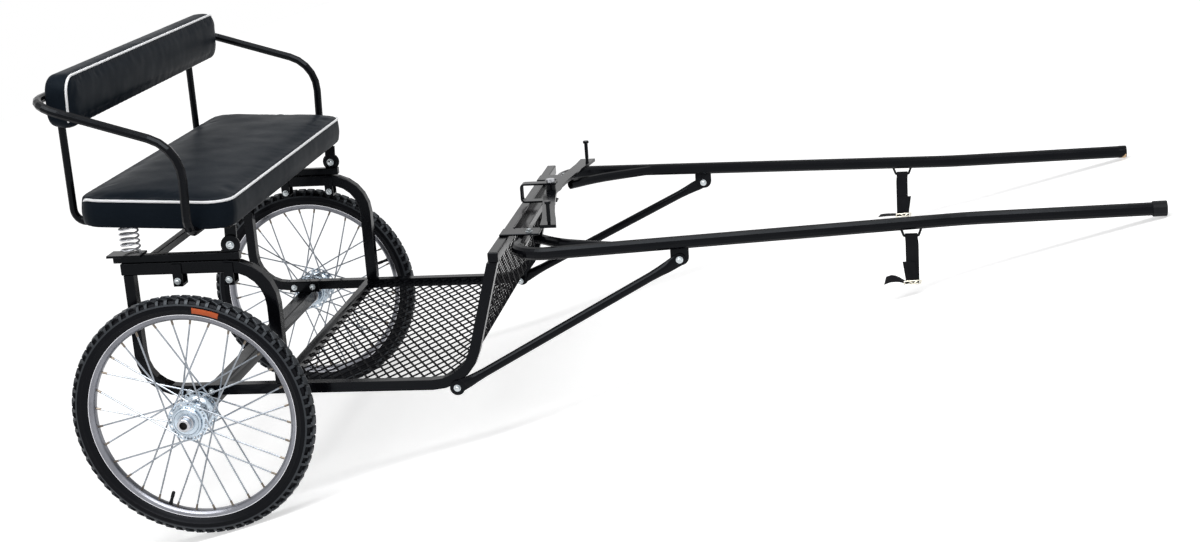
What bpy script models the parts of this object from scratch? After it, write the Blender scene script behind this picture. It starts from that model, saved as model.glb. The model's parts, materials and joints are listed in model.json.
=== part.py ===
"""Two-wheeled pony cart, parked with its shaft tips on the floor."""
import math

import bmesh
import bpy
from mathutils import Matrix, Vector

# Driving dimensions in metres. The cart is laid out standing level, as it is driven:
# x forward to the horse, y to the cart's left, z up from the floor, x = 0 at the axle.
GAP = 0.0003

WHEEL_R = 0.305
TRACK = 1.10
TYRE_R = 0.026
TYRE_H = 0.0445
RIM_R = WHEEL_R - TYRE_H
RIM_HALF = 0.014
RIM_LIP = 0.0063
RIM_DEPTH = 0.0160
RIM_BED_R = RIM_R - RIM_LIP
RIM_IN_R = RIM_R - RIM_DEPTH
SPOKES = 36
CROSS_DEG = 60.0
SPOKE_R = 0.0012
FLANGE_R = 0.050
FLANGE_Y = 0.038
FLANGE_T = 0.0036
HOLE_R = 0.045
HUB_R = 0.024
HUB_CAP_R = 0.035
HUB_HALF = 0.052
BORE_R = 0.0100
SPINDLE_R = 0.0095

WHEEL_SIDE = 0.0766
FRAME_HALF = TRACK / 2 - WHEEL_SIDE
TUBE = 0.0254
ARCH = 0.030
RAIL_LIFT = 0.0377
RAIL_Z = WHEEL_R + RAIL_LIFT
LEG_X = -0.1473
REAR_BEND = 0.095
FRONT_BEND = 0.115
DASH_X = 0.7535
DASH_H = 0.3130
DASH_Z = RAIL_Z + DASH_H
DASH_LEAN = 0.2785
ARCH_H = 0.3123
ARCH_Z = RAIL_Z + ARCH_H
ARCH_REAR_X = -0.166
ARCH_LEG_X = 0.205
ARCH_BEND = 0.100
AXLE_TUBE = 0.0381
AXLE_OUT = 0.0066
AXLE_HALF = FRAME_HALF + AXLE_OUT
FLOOR_BAR_X = 0.1947

SEAT_RAIL = 0.020
SEAT_RAIL_IN = 0.0134
SEAT_RAIL_Y = FRAME_HALF - SEAT_RAIL_IN
SEAT_RAIL_REAR = -0.193
SEAT_RAIL_FRONT = 0.135
SEAT_BAR_X = -0.085
HINGE_X = 0.115
HINGE_H = 0.052
HINGE_Z = ARCH_Z + HINGE_H
LUG_T = 0.006
SEAT_PITCH = math.radians(3.0)
SEAT_OUT = 0.0616
SEAT_HALF = FRAME_HALF + SEAT_OUT
SEAT_X0 = -0.240
SEAT_X1 = 0.138
SEAT_LIFT = 0.054
SEAT_Z0 = HINGE_Z + SEAT_LIFT
SEAT_T = 0.072
BOARD_T = 0.0065
SPRING_X = -0.137
SPRING_R = 0.0225
SPRING_WIRE = 0.0022
SPRING_TURNS = 5.2
BACK_OUT = 0.005
BACK_HALF = SEAT_HALF + BACK_OUT
BACK_X0 = -0.288
BACK_X1 = -0.2265
BACK_LIFT = 0.238
BACK_H = 0.125
BACK_Z0 = SEAT_Z0 + BACK_LIFT
BACK_Z1 = BACK_Z0 + BACK_H
PLATE_T = 0.004
PLATE_HALF = 0.030
UPRIGHT_R = 0.0095
UPRIGHT_IN = 0.0814
UPRIGHT_Y = SEAT_HALF - UPRIGHT_IN
UPRIGHT_TOP_X = BACK_X0 - 0.0026
UPRIGHT_TOP_Z = BACK_Z1 - 0.030
UPRIGHT_LEAN = math.radians(2.94)
ARM_R = 0.011
ARM_OUT = 0.0469
ARM_HALF = SEAT_HALF + ARM_OUT
ARM_X = 0.0505
ARM_FOOT_X = 0.0545
ARM_LIFT = 0.2087
ARM_CORNER_Z = SEAT_Z0 + ARM_LIFT
ARM_RISE = 0.2656
ARM_BEND = 0.102
ARM_REAR_BEND = 0.076
ARM_FOOT_BEND = 0.050
FOOT_SINK = 0.0143
FOOT_END = 0.015
UPRIGHT_FOOT = 0.105

SHAFT_R = 0.016
SHAFT_TIP_X = 2.318
SHAFT_TIP_Y = 0.313
SHAFT_LIFT = 0.0243
SHAFT_TIP_Z = DASH_Z + SHAFT_LIFT
SHAFT_BEND_X = 1.860
SHAFT_REAR_X = 0.790
SHAFT_IN = 0.0214
SHAFT_REAR_Y = FRAME_HALF - SHAFT_IN
SHAFT_DROP = 0.0037
SHAFT_REAR_Z = DASH_Z - SHAFT_DROP
FOOT_IN = 0.152
SHAFT_FOOT_Y = SHAFT_REAR_Y - FOOT_IN
BRACE_R = 0.0125
BRACE_X0 = 0.832
BRACE_X1 = 0.900
BRACE_X2 = 1.055
BRACE_OUT = 0.052
CAP_T = 0.0022
CAP_L = 0.030
STRUT_R = 0.0095
STRUT_X0 = 0.642
STRUT_DROP = 0.0067
STRUT_Z0 = RAIL_Z - STRUT_DROP
STRUT_X1 = 1.189
STRUT_HANG = 0.0403
LOOP_X = 1.733
LOOP_R = 0.003
LOOP_TOP = 0.024
LOOP_LOW = 0.017
LOOP_DROP = 0.031
STRAP_W = 0.024
STRAP_T = 0.003
STRAP_L = 0.105
STRAP_TAIL = 0.085

BAR_X0 = 0.770
BAR_X1 = 0.806
BAR_H = 0.016
BAR_WALL = 0.003
PLATE_X1 = 0.842
PLATE_IN = 0.035
PLATE_OUT = 0.025
CLEVIS_LIFT = 0.0203
CLEVIS_H = 0.0510
CLEVIS_Z0 = DASH_Z + CLEVIS_LIFT
CLEVIS_Z1 = CLEVIS_Z0 + CLEVIS_H
CLEVIS_T = 0.005
CLEVIS_W = 0.028
CLEVIS_X = 0.747
PIVOT_X = 0.826
PIVOT_R = 0.006
TREE_Z = (CLEVIS_Z0 + CLEVIS_Z1) / 2
TREE_T = 0.008
TREE_W = 0.032
TREE_SHORT = 0.100
TREE_TIP_Y = SHAFT_REAR_Y - TREE_SHORT
TREE_TIP_X = 0.874
PIN_R = 0.004
PIN_L = 0.050
PIN_HEAD_R = 0.0065

MESH_T = 0.003
MESH_STRAND = 0.005
MESH_STEP_U = 0.072
MESH_STEP_Y = 0.128

for old in list(bpy.data.objects):
    bpy.data.objects.remove(old, do_unlink=True)
for old in list(bpy.data.collections):
    bpy.data.collections.remove(old)

CART = bpy.data.collections.new("pony_cart")
CUTTERS = bpy.data.collections.new("cutters")
bpy.context.scene.collection.children.link(CART)
bpy.context.scene.collection.children.link(CUTTERS)

MATERIALS = {}


def material(name, color, roughness, metallic):
    """A plain material made once for each kind of surface."""
    mat = bpy.data.materials.new(name)
    mat.use_nodes = True
    shader = mat.node_tree.nodes["Principled BSDF"]
    shader.inputs["Base Color"].default_value = (*color, 1.0)
    shader.inputs["Roughness"].default_value = roughness
    shader.inputs["Metallic"].default_value = metallic
    MATERIALS[name] = (color, roughness, metallic)


material("black_paint", (0.012, 0.012, 0.014), 0.32, 0.0)
material("rubber", (0.016, 0.016, 0.018), 0.75, 0.0)
material("tyre", (0.018, 0.018, 0.020), 0.8, 0.0)
material("vinyl", (0.014, 0.016, 0.020), 0.5, 0.0)
material("alloy", (0.55, 0.56, 0.58), 0.35, 1.0)
material("zinc", (0.50, 0.56, 0.62), 0.35, 1.0)
material("steel", (0.62, 0.62, 0.60), 0.3, 1.0)
material("webbing", (0.015, 0.015, 0.017), 0.85, 0.0)
material("board", (0.03, 0.03, 0.03), 0.7, 0.0)


def own_material(obj, name):
    """Give the object its own copy of a material."""
    mat = bpy.data.materials[name].copy()
    mat.name = obj.name + "_" + name
    obj.data.materials.clear()
    obj.data.materials.append(mat)


# Empties that carry the pieces
def empty(name, parent=None, location=(0, 0, 0)):
    obj = bpy.data.objects.new(name, None)
    CART.objects.link(obj)
    obj.parent = parent
    obj.location = location
    return obj


ROOT = empty("cart_on_floor")
LEVEL = empty("cart_level", ROOT, (0, 0, WHEEL_R))
SEAT = empty("seat_pivot", LEVEL, (HINGE_X, 0, HINGE_Z - WHEEL_R))
SEAT.rotation_euler = (0, SEAT_PITCH, 0)
TREE = empty("singletree_pivot", LEVEL, (PIVOT_X, 0, TREE_Z - WHEEL_R))
HUBS = {}
for side, sign in (("right", -1), ("left", 1)):
    HUBS[side] = empty("wheel_" + side + "_axis", ROOT, (0, sign * TRACK / 2, WHEEL_R))
HOME = {
    LEVEL: Vector((0, 0, WHEEL_R)),
    SEAT: Vector((HINGE_X, 0, HINGE_Z)),
    TREE: Vector((PIVOT_X, 0, TREE_Z)),
    HUBS["right"]: Vector((0, -TRACK / 2, WHEEL_R)),
    HUBS["left"]: Vector((0, TRACK / 2, WHEEL_R)),
}


def finish(obj, mat, holder=None, smooth=True):
    """Hang a piece laid out in level coordinates on its empty."""
    holder = holder or LEVEL
    for group in list(obj.users_collection):
        group.objects.unlink(obj)
    CART.objects.link(obj)
    mesh = obj.data
    mesh.transform(Matrix.Translation(-HOME[holder]))
    obj.parent = holder
    bm = bmesh.new()
    bm.from_mesh(mesh)
    bmesh.ops.remove_doubles(bm, verts=bm.verts, dist=0.00001)
    bmesh.ops.recalc_face_normals(bm, faces=bm.faces)
    bm.to_mesh(mesh)
    bm.free()
    own_material(obj, mat)
    if smooth:
        mesh.shade_smooth()
        mesh.set_sharp_from_angle(angle=math.radians(32))
    return obj


# Shapes
def box(name, x0, x1, y0, y1, z0, z1, bevel=0.0):
    bpy.ops.mesh.primitive_cube_add(size=1)
    obj = bpy.context.object
    obj.name = name
    scale = Matrix.Diagonal((x1 - x0, abs(y1 - y0), z1 - z0, 1))
    place = Matrix.Translation(((x0 + x1) / 2, (y0 + y1) / 2, (z0 + z1) / 2))
    obj.data.transform(place @ scale)
    if bevel:
        cut = obj.modifiers.new("edge", "BEVEL")
        cut.width = bevel
        cut.segments = 1
        bake(obj)
    return obj


def bake(obj):
    """Turn a curve or a modified object into a plain mesh object of the same name."""
    bpy.context.view_layer.update()
    graph = bpy.context.evaluated_depsgraph_get()
    mesh = bpy.data.meshes.new_from_object(obj.evaluated_get(graph))
    mesh.transform(obj.matrix_world)
    name = obj.name
    if obj.type == "MESH":
        obj.modifiers.clear()
        obj.data = mesh
        obj.matrix_world = Matrix.Identity(4)
        return obj
    bpy.data.objects.remove(obj, do_unlink=True)
    bm = bmesh.new()
    bm.from_mesh(mesh)
    bmesh.ops.remove_doubles(bm, verts=bm.verts, dist=0.00001)
    bm.to_mesh(mesh)
    bm.free()
    solid = bpy.data.objects.new(name, mesh)
    bpy.context.scene.collection.objects.link(solid)
    return solid


def rounded(points, radii, step=15.0):
    """Points of a path whose corners are rounded by the given radii."""
    points = [Vector(p) for p in points]
    path = [points[0]]
    for i in range(1, len(points) - 1):
        a, b, c = points[i - 1], points[i], points[i + 1]
        u = (a - b).normalized()
        v = (c - b).normalized()
        turn = math.pi - u.angle(v)
        r = radii[i - 1]
        if r == 0 or turn < 0.001:
            path.append(b)
            continue
        reach = r * math.tan(turn / 2)
        start = b + u * reach
        middle = b + (u + v).normalized() * (r / math.cos(turn / 2))
        first = start - middle
        side = -u
        count = max(2, round(math.degrees(turn) / step))
        for k in range(count + 1):
            angle = turn * k / count
            path.append(middle + first * math.cos(angle) + side * (r * math.sin(angle)))
    path.append(points[-1])
    return path


def rod(name, path, radius, sides=12):
    """A round bar along a path, closed at both ends."""
    curve = bpy.data.curves.new(name, "CURVE")
    curve.dimensions = "3D"
    curve.bevel_depth = radius
    curve.bevel_resolution = (sides - 4) // 2
    curve.use_fill_caps = True
    spline = curve.splines.new("POLY")
    spline.points.add(len(path) - 1)
    for point, co in zip(spline.points, path):
        point.co = (*co, 1.0)
    obj = bpy.data.objects.new(name, curve)
    bpy.context.scene.collection.objects.link(obj)
    return bake(obj)


def slab(name, outline, y0, y1):
    """A flat plate with an outline in x and z, between two values of y."""
    curve = bpy.data.curves.new(name, "CURVE")
    curve.dimensions = "2D"
    curve.fill_mode = "BOTH"
    curve.extrude = abs(y1 - y0) / 2
    spline = curve.splines.new("POLY")
    spline.points.add(len(outline) - 1)
    for point, co in zip(spline.points, outline):
        point.co = (co[0], co[1], 0.0, 1.0)
    spline.use_cyclic_u = True
    obj = bpy.data.objects.new(name, curve)
    bpy.context.scene.collection.objects.link(obj)
    obj.rotation_euler = (math.pi / 2, 0, 0)
    obj.location = (0, (y0 + y1) / 2, 0)
    return bake(obj)


def plate(name, outline, z0, z1):
    """A flat plate with an outline in x and y, between two heights."""
    curve = bpy.data.curves.new(name, "CURVE")
    curve.dimensions = "2D"
    curve.fill_mode = "BOTH"
    curve.extrude = abs(z1 - z0) / 2
    spline = curve.splines.new("POLY")
    spline.points.add(len(outline) - 1)
    for point, co in zip(spline.points, outline):
        point.co = (co[0], co[1], 0.0, 1.0)
    spline.use_cyclic_u = True
    obj = bpy.data.objects.new(name, curve)
    bpy.context.scene.collection.objects.link(obj)
    obj.location = (0, 0, (z0 + z1) / 2)
    return bake(obj)


def band(path, half, start_z=None, end_z=None, start_x=None):
    """The outline of a bar of even width along a path in x and z."""
    left = []
    right = []
    for i, p in enumerate(path):
        a = path[max(i - 1, 0)]
        b = path[min(i + 1, len(path) - 1)]
        if 0 < i < len(path) - 1:
            u = (p - a).normalized()
            v = (b - p).normalized()
            along = (u + v).normalized()
            reach = half / max(along.dot(u), 0.3)
        else:
            along = (b - a).normalized()
            reach = half
        across = Vector((-along.y, along.x)) * reach
        left.append(p + across)
        right.append(p - across)
    for row in (left, right):
        if end_z is not None:
            d = row[-1] - row[-2]
            row[-1] = row[-2] + d * ((end_z - row[-2].y) / d.y)
        if start_z is not None:
            d = row[0] - row[1]
            row[0] = row[1] + d * ((start_z - row[1].y) / d.y)
    return left + right[::-1]


def arc(cx, cz, r, a0, a1, count):
    """Points on a circle from one angle to another, in degrees."""
    points = []
    for k in range(count + 1):
        a = math.radians(a0 + (a1 - a0) * k / count)
        points.append(Vector((cx + r * math.cos(a), cz + r * math.sin(a))))
    return points


def turned(name, profile, y_mid, sign, steps, closed=True):
    """A piece turned about the wheel axis. The profile holds (outward, radius) pairs."""
    mesh = bpy.data.meshes.new(name)
    bm = bmesh.new()
    verts = [bm.verts.new((0, y_mid + sign * out, radius)) for out, radius in profile]
    for a, b in zip(verts, verts[1:]):
        bm.edges.new((a, b))
    if closed:
        bm.edges.new((verts[-1], verts[0]))
    bm.to_mesh(mesh)
    bm.free()
    obj = bpy.data.objects.new(name, mesh)
    bpy.context.scene.collection.objects.link(obj)
    spin = obj.modifiers.new("turn", "SCREW")
    spin.axis = "Y"
    spin.angle = 2 * math.pi
    spin.steps = steps
    spin.render_steps = steps
    spin.use_merge_vertices = True
    spin.merge_threshold = 0.00001
    bake(obj)
    obj.data.transform(Matrix.Translation((0, 0, WHEEL_R)))
    bm = bmesh.new()
    bm.from_mesh(obj.data)
    bmesh.ops.remove_doubles(bm, verts=bm.verts, dist=0.00001)
    bmesh.ops.recalc_face_normals(bm, faces=bm.faces)
    bm.to_mesh(obj.data)
    bm.free()
    return obj


def clean(obj):
    bm = bmesh.new()
    bm.from_mesh(obj.data)
    bmesh.ops.remove_doubles(bm, verts=bm.verts, dist=0.00001)
    bmesh.ops.recalc_face_normals(bm, faces=bm.faces)
    bm.to_mesh(obj.data)
    bm.free()


def combine(obj, other, how):
    """Join another shape to this one, or cut it away."""
    clean(obj)
    clean(other)
    for group in list(other.users_collection):
        group.objects.unlink(other)
    CUTTERS.objects.link(other)
    other.hide_render = True
    other.display_type = "WIRE"
    step = obj.modifiers.new(how.lower(), "BOOLEAN")
    step.operation = how
    step.solver = "EXACT"
    step.object = other
    bake(obj)
    clean(obj)
    return obj


# Wheels
def wheel(side, sign):
    holder = HUBS[side]
    mid = sign * TRACK / 2
    lip = RIM_R + 0.0007
    centre = WHEEL_R - TYRE_R
    low = math.degrees(math.asin((centre - lip) / TYRE_R))
    section = [(p.x, p.y) for p in arc(0, centre, TYRE_R, 180 + low, -low, 10)]
    bead = RIM_HALF - 0.0022 - GAP
    bed = RIM_BED_R + GAP
    section = [(-bead, bed), (-bead, lip)] + section + [(bead, lip), (bead, bed)]
    tyre = turned("tyre_" + side, section, mid, sign, SPOKES)
    finish(tyre, "tyre", holder)
    w = RIM_HALF
    inner = w - 0.0022
    section = [(-w, RIM_R), (-inner, RIM_R), (-inner, RIM_BED_R), (inner, RIM_BED_R), (inner, RIM_R),
               (w, RIM_R), (w, (RIM_BED_R + RIM_IN_R) / 2), (w * 0.57, RIM_IN_R), (-w * 0.57, RIM_IN_R),
               (-w, (RIM_BED_R + RIM_IN_R) / 2)]
    rim = turned("rim_" + side, section, mid, sign, SPOKES)
    finish(rim, "alloy", holder)
    near = FLANGE_Y - FLANGE_T / 2
    far = FLANGE_Y + FLANGE_T / 2
    section = [(-HUB_HALF, BORE_R), (-HUB_HALF, HUB_CAP_R - 0.003), (-HUB_HALF + 0.003, HUB_CAP_R),
                (-far, HUB_CAP_R),
               (-far, FLANGE_R), (-near, FLANGE_R), (-near, HUB_R + 0.004), (-near + 0.008, HUB_R),
               (near - 0.008, HUB_R), (near, HUB_R + 0.004), (near, FLANGE_R), (far, FLANGE_R),
               (far, HUB_CAP_R), (HUB_HALF - 0.003, HUB_CAP_R), (HUB_HALF, HUB_CAP_R - 0.003), (HUB_HALF, BORE_R)]
    hub = turned("hub_" + side, section, mid, sign, 20)
    tip = RIM_IN_R * math.cos(math.pi / SPOKES) - GAP - 0.0003
    rods = None
    for flange in (-1, 1):
        for k in range(SPOKES // 2):
            lead = 1 if k % 2 else -1
            hole = math.radians(360 / (SPOKES / 2) * k + 180 / SPOKES * flange)
            end = hole + math.radians(CROSS_DEG) * lead
            y0 = mid + flange * FLANGE_Y
            y1 = y0 + lead * 0.0036
            c, s = math.cos(hole), math.sin(hole)
            path = [(HOLE_R * c, y0, WHEEL_R + HOLE_R * s), (HOLE_R * c, y1, WHEEL_R + HOLE_R * s),
                    (tip * math.cos(end), mid, WHEEL_R + tip * math.sin(end))]
            path[0] = (path[0][0], y0 - lead * 0.0008, path[0][2])
            spoke = rod("spoke", path, SPOKE_R, 4)
            if rods is None:
                rods = spoke
            else:
                bm = bmesh.new()
                bm.from_mesh(rods.data)
                bm.from_mesh(spoke.data)
                bm.to_mesh(rods.data)
                bm.free()
                bpy.data.objects.remove(spoke, do_unlink=True)
    combine(hub, rods, "UNION")
    finish(hub, "zinc", holder)
    reach = TRACK / 2
    section = [(AXLE_HALF + GAP, 0.0), (AXLE_HALF + GAP, 0.028), (AXLE_HALF + 0.005, 0.028),
                (AXLE_HALF + 0.005, 0.016),
               (reach - HUB_HALF - 0.001, 0.016), (reach - HUB_HALF - 0.001, SPINDLE_R),
               (reach + HUB_HALF + 0.001, SPINDLE_R), (reach + HUB_HALF + 0.001, 0.017),
               (reach + HUB_HALF + 0.003, 0.018),
               (reach + HUB_HALF + 0.012, 0.018), (reach + HUB_HALF + 0.014, 0.016),
                (reach + HUB_HALF + 0.014, 0.0085),
               (reach + HUB_HALF + 0.021, 0.0085), (reach + HUB_HALF + 0.022, 0.0075),
                (reach + HUB_HALF + 0.022, 0.0)]
    stub = turned("stub_axle_" + side, section, 0, sign, 16, closed=False)
    finish(stub, "steel")


for side, sign in (("right", -1), ("left", 1)):
    wheel(side, sign)

# Frame
HALF = TUBE / 2
RAIL_TOP = RAIL_Z + HALF
RAIL_LOW = RAIL_Z - HALF
DASH_LOW = DASH_Z - HALF
CORNER_X = DASH_X - 0.003 - DASH_LEAN * (DASH_LOW - RAIL_Z)
ARCH_LOW = ARCH_Z - ARCH / 2
ARCH_TOP = ARCH_Z + ARCH / 2


def side_path():
    """Centre line of the lower frame tube, from the rear leg to the dash."""
    corner = Vector((CORNER_X, RAIL_Z))
    top = Vector((DASH_X - 0.003, DASH_LOW))
    points = [(LEG_X, ARCH_LOW), (LEG_X, RAIL_Z), corner, top]
    return rounded(points, (REAR_BEND, FRONT_BEND))


for side, sign in (("right", -1), ("left", 1)):
    outline = band(side_path(), HALF, start_z=ARCH_LOW - GAP, end_z=DASH_LOW - GAP)
    bar = slab("side_frame_" + side, outline, sign * (FRAME_HALF - TUBE), sign * FRAME_HALF)
    outline = arc(STRUT_X0, STRUT_Z0, 0.014, 195, 340, 6)
    outline += [Vector((STRUT_X0 + 0.022, STRUT_Z0 + 0.040)), Vector((STRUT_X0 - 0.020, STRUT_Z0 + 0.026))]
    lug = slab("lug", outline, sign * (FRAME_HALF - LUG_T - 0.0002), sign * (FRAME_HALF - 0.0002))
    combine(bar, lug, "UNION")
    finish(bar, "black_paint")
    path = rounded([(ARCH_REAR_X, ARCH_Z), (ARCH_LEG_X, ARCH_Z), (ARCH_LEG_X, RAIL_TOP)], (ARCH_BEND,))
    outline = band(path, ARCH / 2, end_z=RAIL_TOP + GAP)
    bar = slab("arch_" + side, outline, sign * (FRAME_HALF - ARCH), sign * FRAME_HALF)
    finish(bar, "black_paint")
    low = WHEEL_R + AXLE_TUBE / 2 + GAP
    inner = FRAME_HALF - TUBE
    flange = [(-0.045, low), (0.045, low), (0.045, RAIL_LOW - GAP), (-0.045, RAIL_LOW - GAP)]
    bracket = slab("axle_bracket_" + side, flange, sign * (inner - 0.0055), sign * FRAME_HALF)
    cheek = slab("cheek", [(-0.045, low), (0.045, low), (0.045, RAIL_TOP - 0.003), (-0.045, RAIL_TOP - 0.003)],
                 sign * (inner - 0.0055), sign * (inner - GAP))
    combine(bracket, cheek, "UNION")
    finish(bracket, "black_paint")

finish(box("axle_tube", -AXLE_TUBE / 2, AXLE_TUBE / 2, -AXLE_HALF, AXLE_HALF,
           WHEEL_R - AXLE_TUBE / 2, WHEEL_R + AXLE_TUBE / 2, 0.002), "black_paint")
inner = FRAME_HALF - TUBE - GAP
finish(box("floor_crossbar", FLOOR_BAR_X - HALF, FLOOR_BAR_X + HALF, -inner, inner, RAIL_LOW, RAIL_TOP, 0.002),
       "black_paint")
finish(box("dash_top_bar", DASH_X - HALF, DASH_X + HALF, -FRAME_HALF, FRAME_HALF, DASH_LOW, DASH_Z + HALF, 0.002),
       "black_paint")


# Expanded metal floor that bends up into the dash
def mesh_sheet():
    """One lattice of staggered diamonds laid out flat, then bent along the floor and dash."""
    corner = Vector((CORNER_X, RAIL_Z))
    top = Vector((DASH_X - 0.003, DASH_LOW))
    run = top - corner
    top = corner + run * ((DASH_LOW - GAP - 0.0012 - RAIL_Z) / run.y)
    path = rounded([(FLOOR_BAR_X + HALF + GAP, RAIL_Z), corner, top], (FRONT_BEND,), 5.0)
    lengths = [0.0]
    for a, b in zip(path, path[1:]):
        lengths.append(lengths[-1] + (b - a).length)
    total = lengths[-1]
    width = 2 * inner
    rows = round(total / (MESH_STEP_U / 2))
    rows += rows % 2
    columns = round(width / (MESH_STEP_Y / 2))
    columns += columns % 2
    du = total / rows
    dy = width / columns
    bm = bmesh.new()
    corners = {}

    def at(i, j):
        if (i, j) not in corners:
            corners[(i, j)] = bm.verts.new((i * du, j * dy - inner, 0))
        return corners[(i, j)]

    for i in range(0, rows + 1):
        for j in range(0, columns + 1):
            if (i + j) % 2 == 0:
                continue
            around = [(i - 1, j), (i, j - 1), (i + 1, j), (i, j + 1)]
            ring = [at(*c) for c in around if 0 <= c[0] <= rows and 0 <= c[1] <= columns]
            hole = []
            count = len(ring)
            for k, v in enumerate(ring):
                a = ring[k - 1].co - v.co
                b = ring[(k + 1) % count].co - v.co
                a.normalize()
                b.normalize()
                angle = a.angle(b)
                reach = MESH_STRAND / 2 / math.sin(angle / 2)
                hole.append(bm.verts.new(v.co + (a + b).normalized() * reach))
            for k in range(count):
                n = (k + 1) % count
                bm.faces.new((ring[k], ring[n], hole[n], hole[k]))
    bmesh.ops.recalc_face_normals(bm, faces=bm.faces)

    def bend(u):
        u = min(max(u, 0.0), total)
        for k in range(len(lengths) - 1):
            if u <= lengths[k + 1] + 1e-9:
                t = (u - lengths[k]) / (lengths[k + 1] - lengths[k])
                a, b = path[k], path[k + 1]
                return a + (b - a) * t
        return path[-1]

    for v in bm.verts:
        p = bend(v.co.x)
        v.co = Vector((p.x, v.co.y, p.y))
    mesh = bpy.data.meshes.new("floor_mesh")
    bm.to_mesh(mesh)
    bm.free()
    obj = bpy.data.objects.new("floor_mesh", mesh)
    bpy.context.scene.collection.objects.link(obj)
    thick = obj.modifiers.new("thickness", "SOLIDIFY")
    thick.thickness = MESH_T
    thick.offset = 0
    thick.use_even_offset = True
    return bake(obj)


finish(mesh_sheet(), "black_paint", smooth=False)

# Seat slides on the arches
RAIL_BOTTOM = ARCH_TOP + GAP
RAIL_UP = RAIL_BOTTOM + SEAT_RAIL
for side, sign in (("right", -1), ("left", 1)):
    y0 = SEAT_RAIL_Y - SEAT_RAIL / 2
    y1 = SEAT_RAIL_Y + SEAT_RAIL / 2
    rail = box("seat_rail_" + side, SEAT_RAIL_REAR + 0.01, SEAT_RAIL_FRONT, sign * y0, sign * y1,
               RAIL_BOTTOM, RAIL_UP, 0.0015)
    pad = box("pad", SEAT_RAIL_REAR, SPRING_X + 0.030, sign * (y0 - 0.016), sign * (y1 + 0.014),
              RAIL_UP - 0.003, RAIL_UP + 0.003)
    combine(rail, pad, "UNION")
    finish(rail, "black_paint")
    for where, x in (("front", 0.106), ("rear", -0.023)):
        name = "seat_clamp_" + where + "_" + side
        out = FRAME_HALF + GAP
        wall = 0.0035
        low = ARCH_LOW - 0.030
        outer = box(name, x - 0.012, x + 0.012, sign * (FRAME_HALF - ARCH - GAP - wall), sign * (out + wall),
                    low, ARCH_TOP - 0.004)
        hollow = box("hollow", x - 0.02, x + 0.02, sign * (FRAME_HALF - ARCH - GAP), sign * out,
                     low + 0.006, ARCH_TOP + 0.02)
        combine(outer, hollow, "DIFFERENCE")
        bar = rod("pin", [(x, sign * (FRAME_HALF - ARCH - 0.006), ARCH_LOW - 0.016),
                          (x, sign * (FRAME_HALF + 0.006), ARCH_LOW - 0.016)], 0.005, 10)
        combine(outer, bar, "UNION")
        finish(outer, "black_paint")
    outline = arc(HINGE_X, HINGE_Z, 0.017, 0, 180, 8)
    outline += [Vector((HINGE_X - 0.017, RAIL_UP + GAP)), Vector((HINGE_X + 0.017, RAIL_UP + GAP))]
    lug = slab("rail_lug_" + side, outline, sign * SEAT_RAIL_Y, sign * (SEAT_RAIL_Y + LUG_T))
    finish(lug, "black_paint")
finish(box("seat_rail_crossbar", SEAT_BAR_X - SEAT_RAIL / 2, SEAT_BAR_X + SEAT_RAIL / 2,
           -(SEAT_RAIL_Y - SEAT_RAIL / 2 - GAP), SEAT_RAIL_Y - SEAT_RAIL / 2 - GAP,
           RAIL_BOTTOM, RAIL_UP, 0.0015), "black_paint")

# Seat, laid out level and tipped with its empty
BOARD_LOW = SEAT_Z0 - GAP - BOARD_T


def cushion(name, x0, x1, half, z0, z1, r, upright):
    """A soft block with rounded corners as seen square to its face."""
    if upright:
        width = (-half, half)
        height = (z0, z1)
    else:
        width = (x0, x1)
        height = (-half, half)
    corners = []
    for cx, cy, a in ((width[1] - r, height[1] - r, 0), (width[0] + r, height[1] - r, 90),
                      (width[0] + r, height[0] + r, 180), (width[1] - r, height[0] + r, 270)):
        corners += arc(cx, cy, r, a, a + 90, 4)
    if upright:
        obj = plate(name, corners, 0, x1 - x0)
        turn = Matrix(((0, 0, 1, 0), (1, 0, 0, 0), (0, 1, 0, 0), (0, 0, 0, 1)))
        obj.data.transform(Matrix.Translation((x0, 0, 0)) @ turn)
    else:
        obj = plate(name, corners, z0, z1)
    clean(obj)
    soft = obj.modifiers.new("soft", "BEVEL")
    soft.width = 0.008
    soft.segments = 2
    soft.limit_method = "ANGLE"
    soft.angle_limit = math.radians(50)
    bake(obj)
    return obj


def upright_x(z):
    """Where an upright's centre line stands at this height."""
    return UPRIGHT_TOP_X + (UPRIGHT_TOP_Z - z) * math.tan(UPRIGHT_LEAN)


UPRIGHT_DEPTH = UPRIGHT_R / math.cos(UPRIGHT_LEAN)
PLATE_LOW = BACK_Z0 + 0.012
PLATE_TOP = BACK_Z1 - 0.012
PLATE_X = upright_x(PLATE_LOW) + UPRIGHT_DEPTH + GAP
FOOT_LOW = SEAT_Z0 - FOOT_SINK
UPRIGHT_Z = FOOT_LOW + UPRIGHT_R
ARM_FOOT_Z = FOOT_LOW + ARM_R
ARM_FOOT_Y = UPRIGHT_Y - FOOT_END

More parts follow.
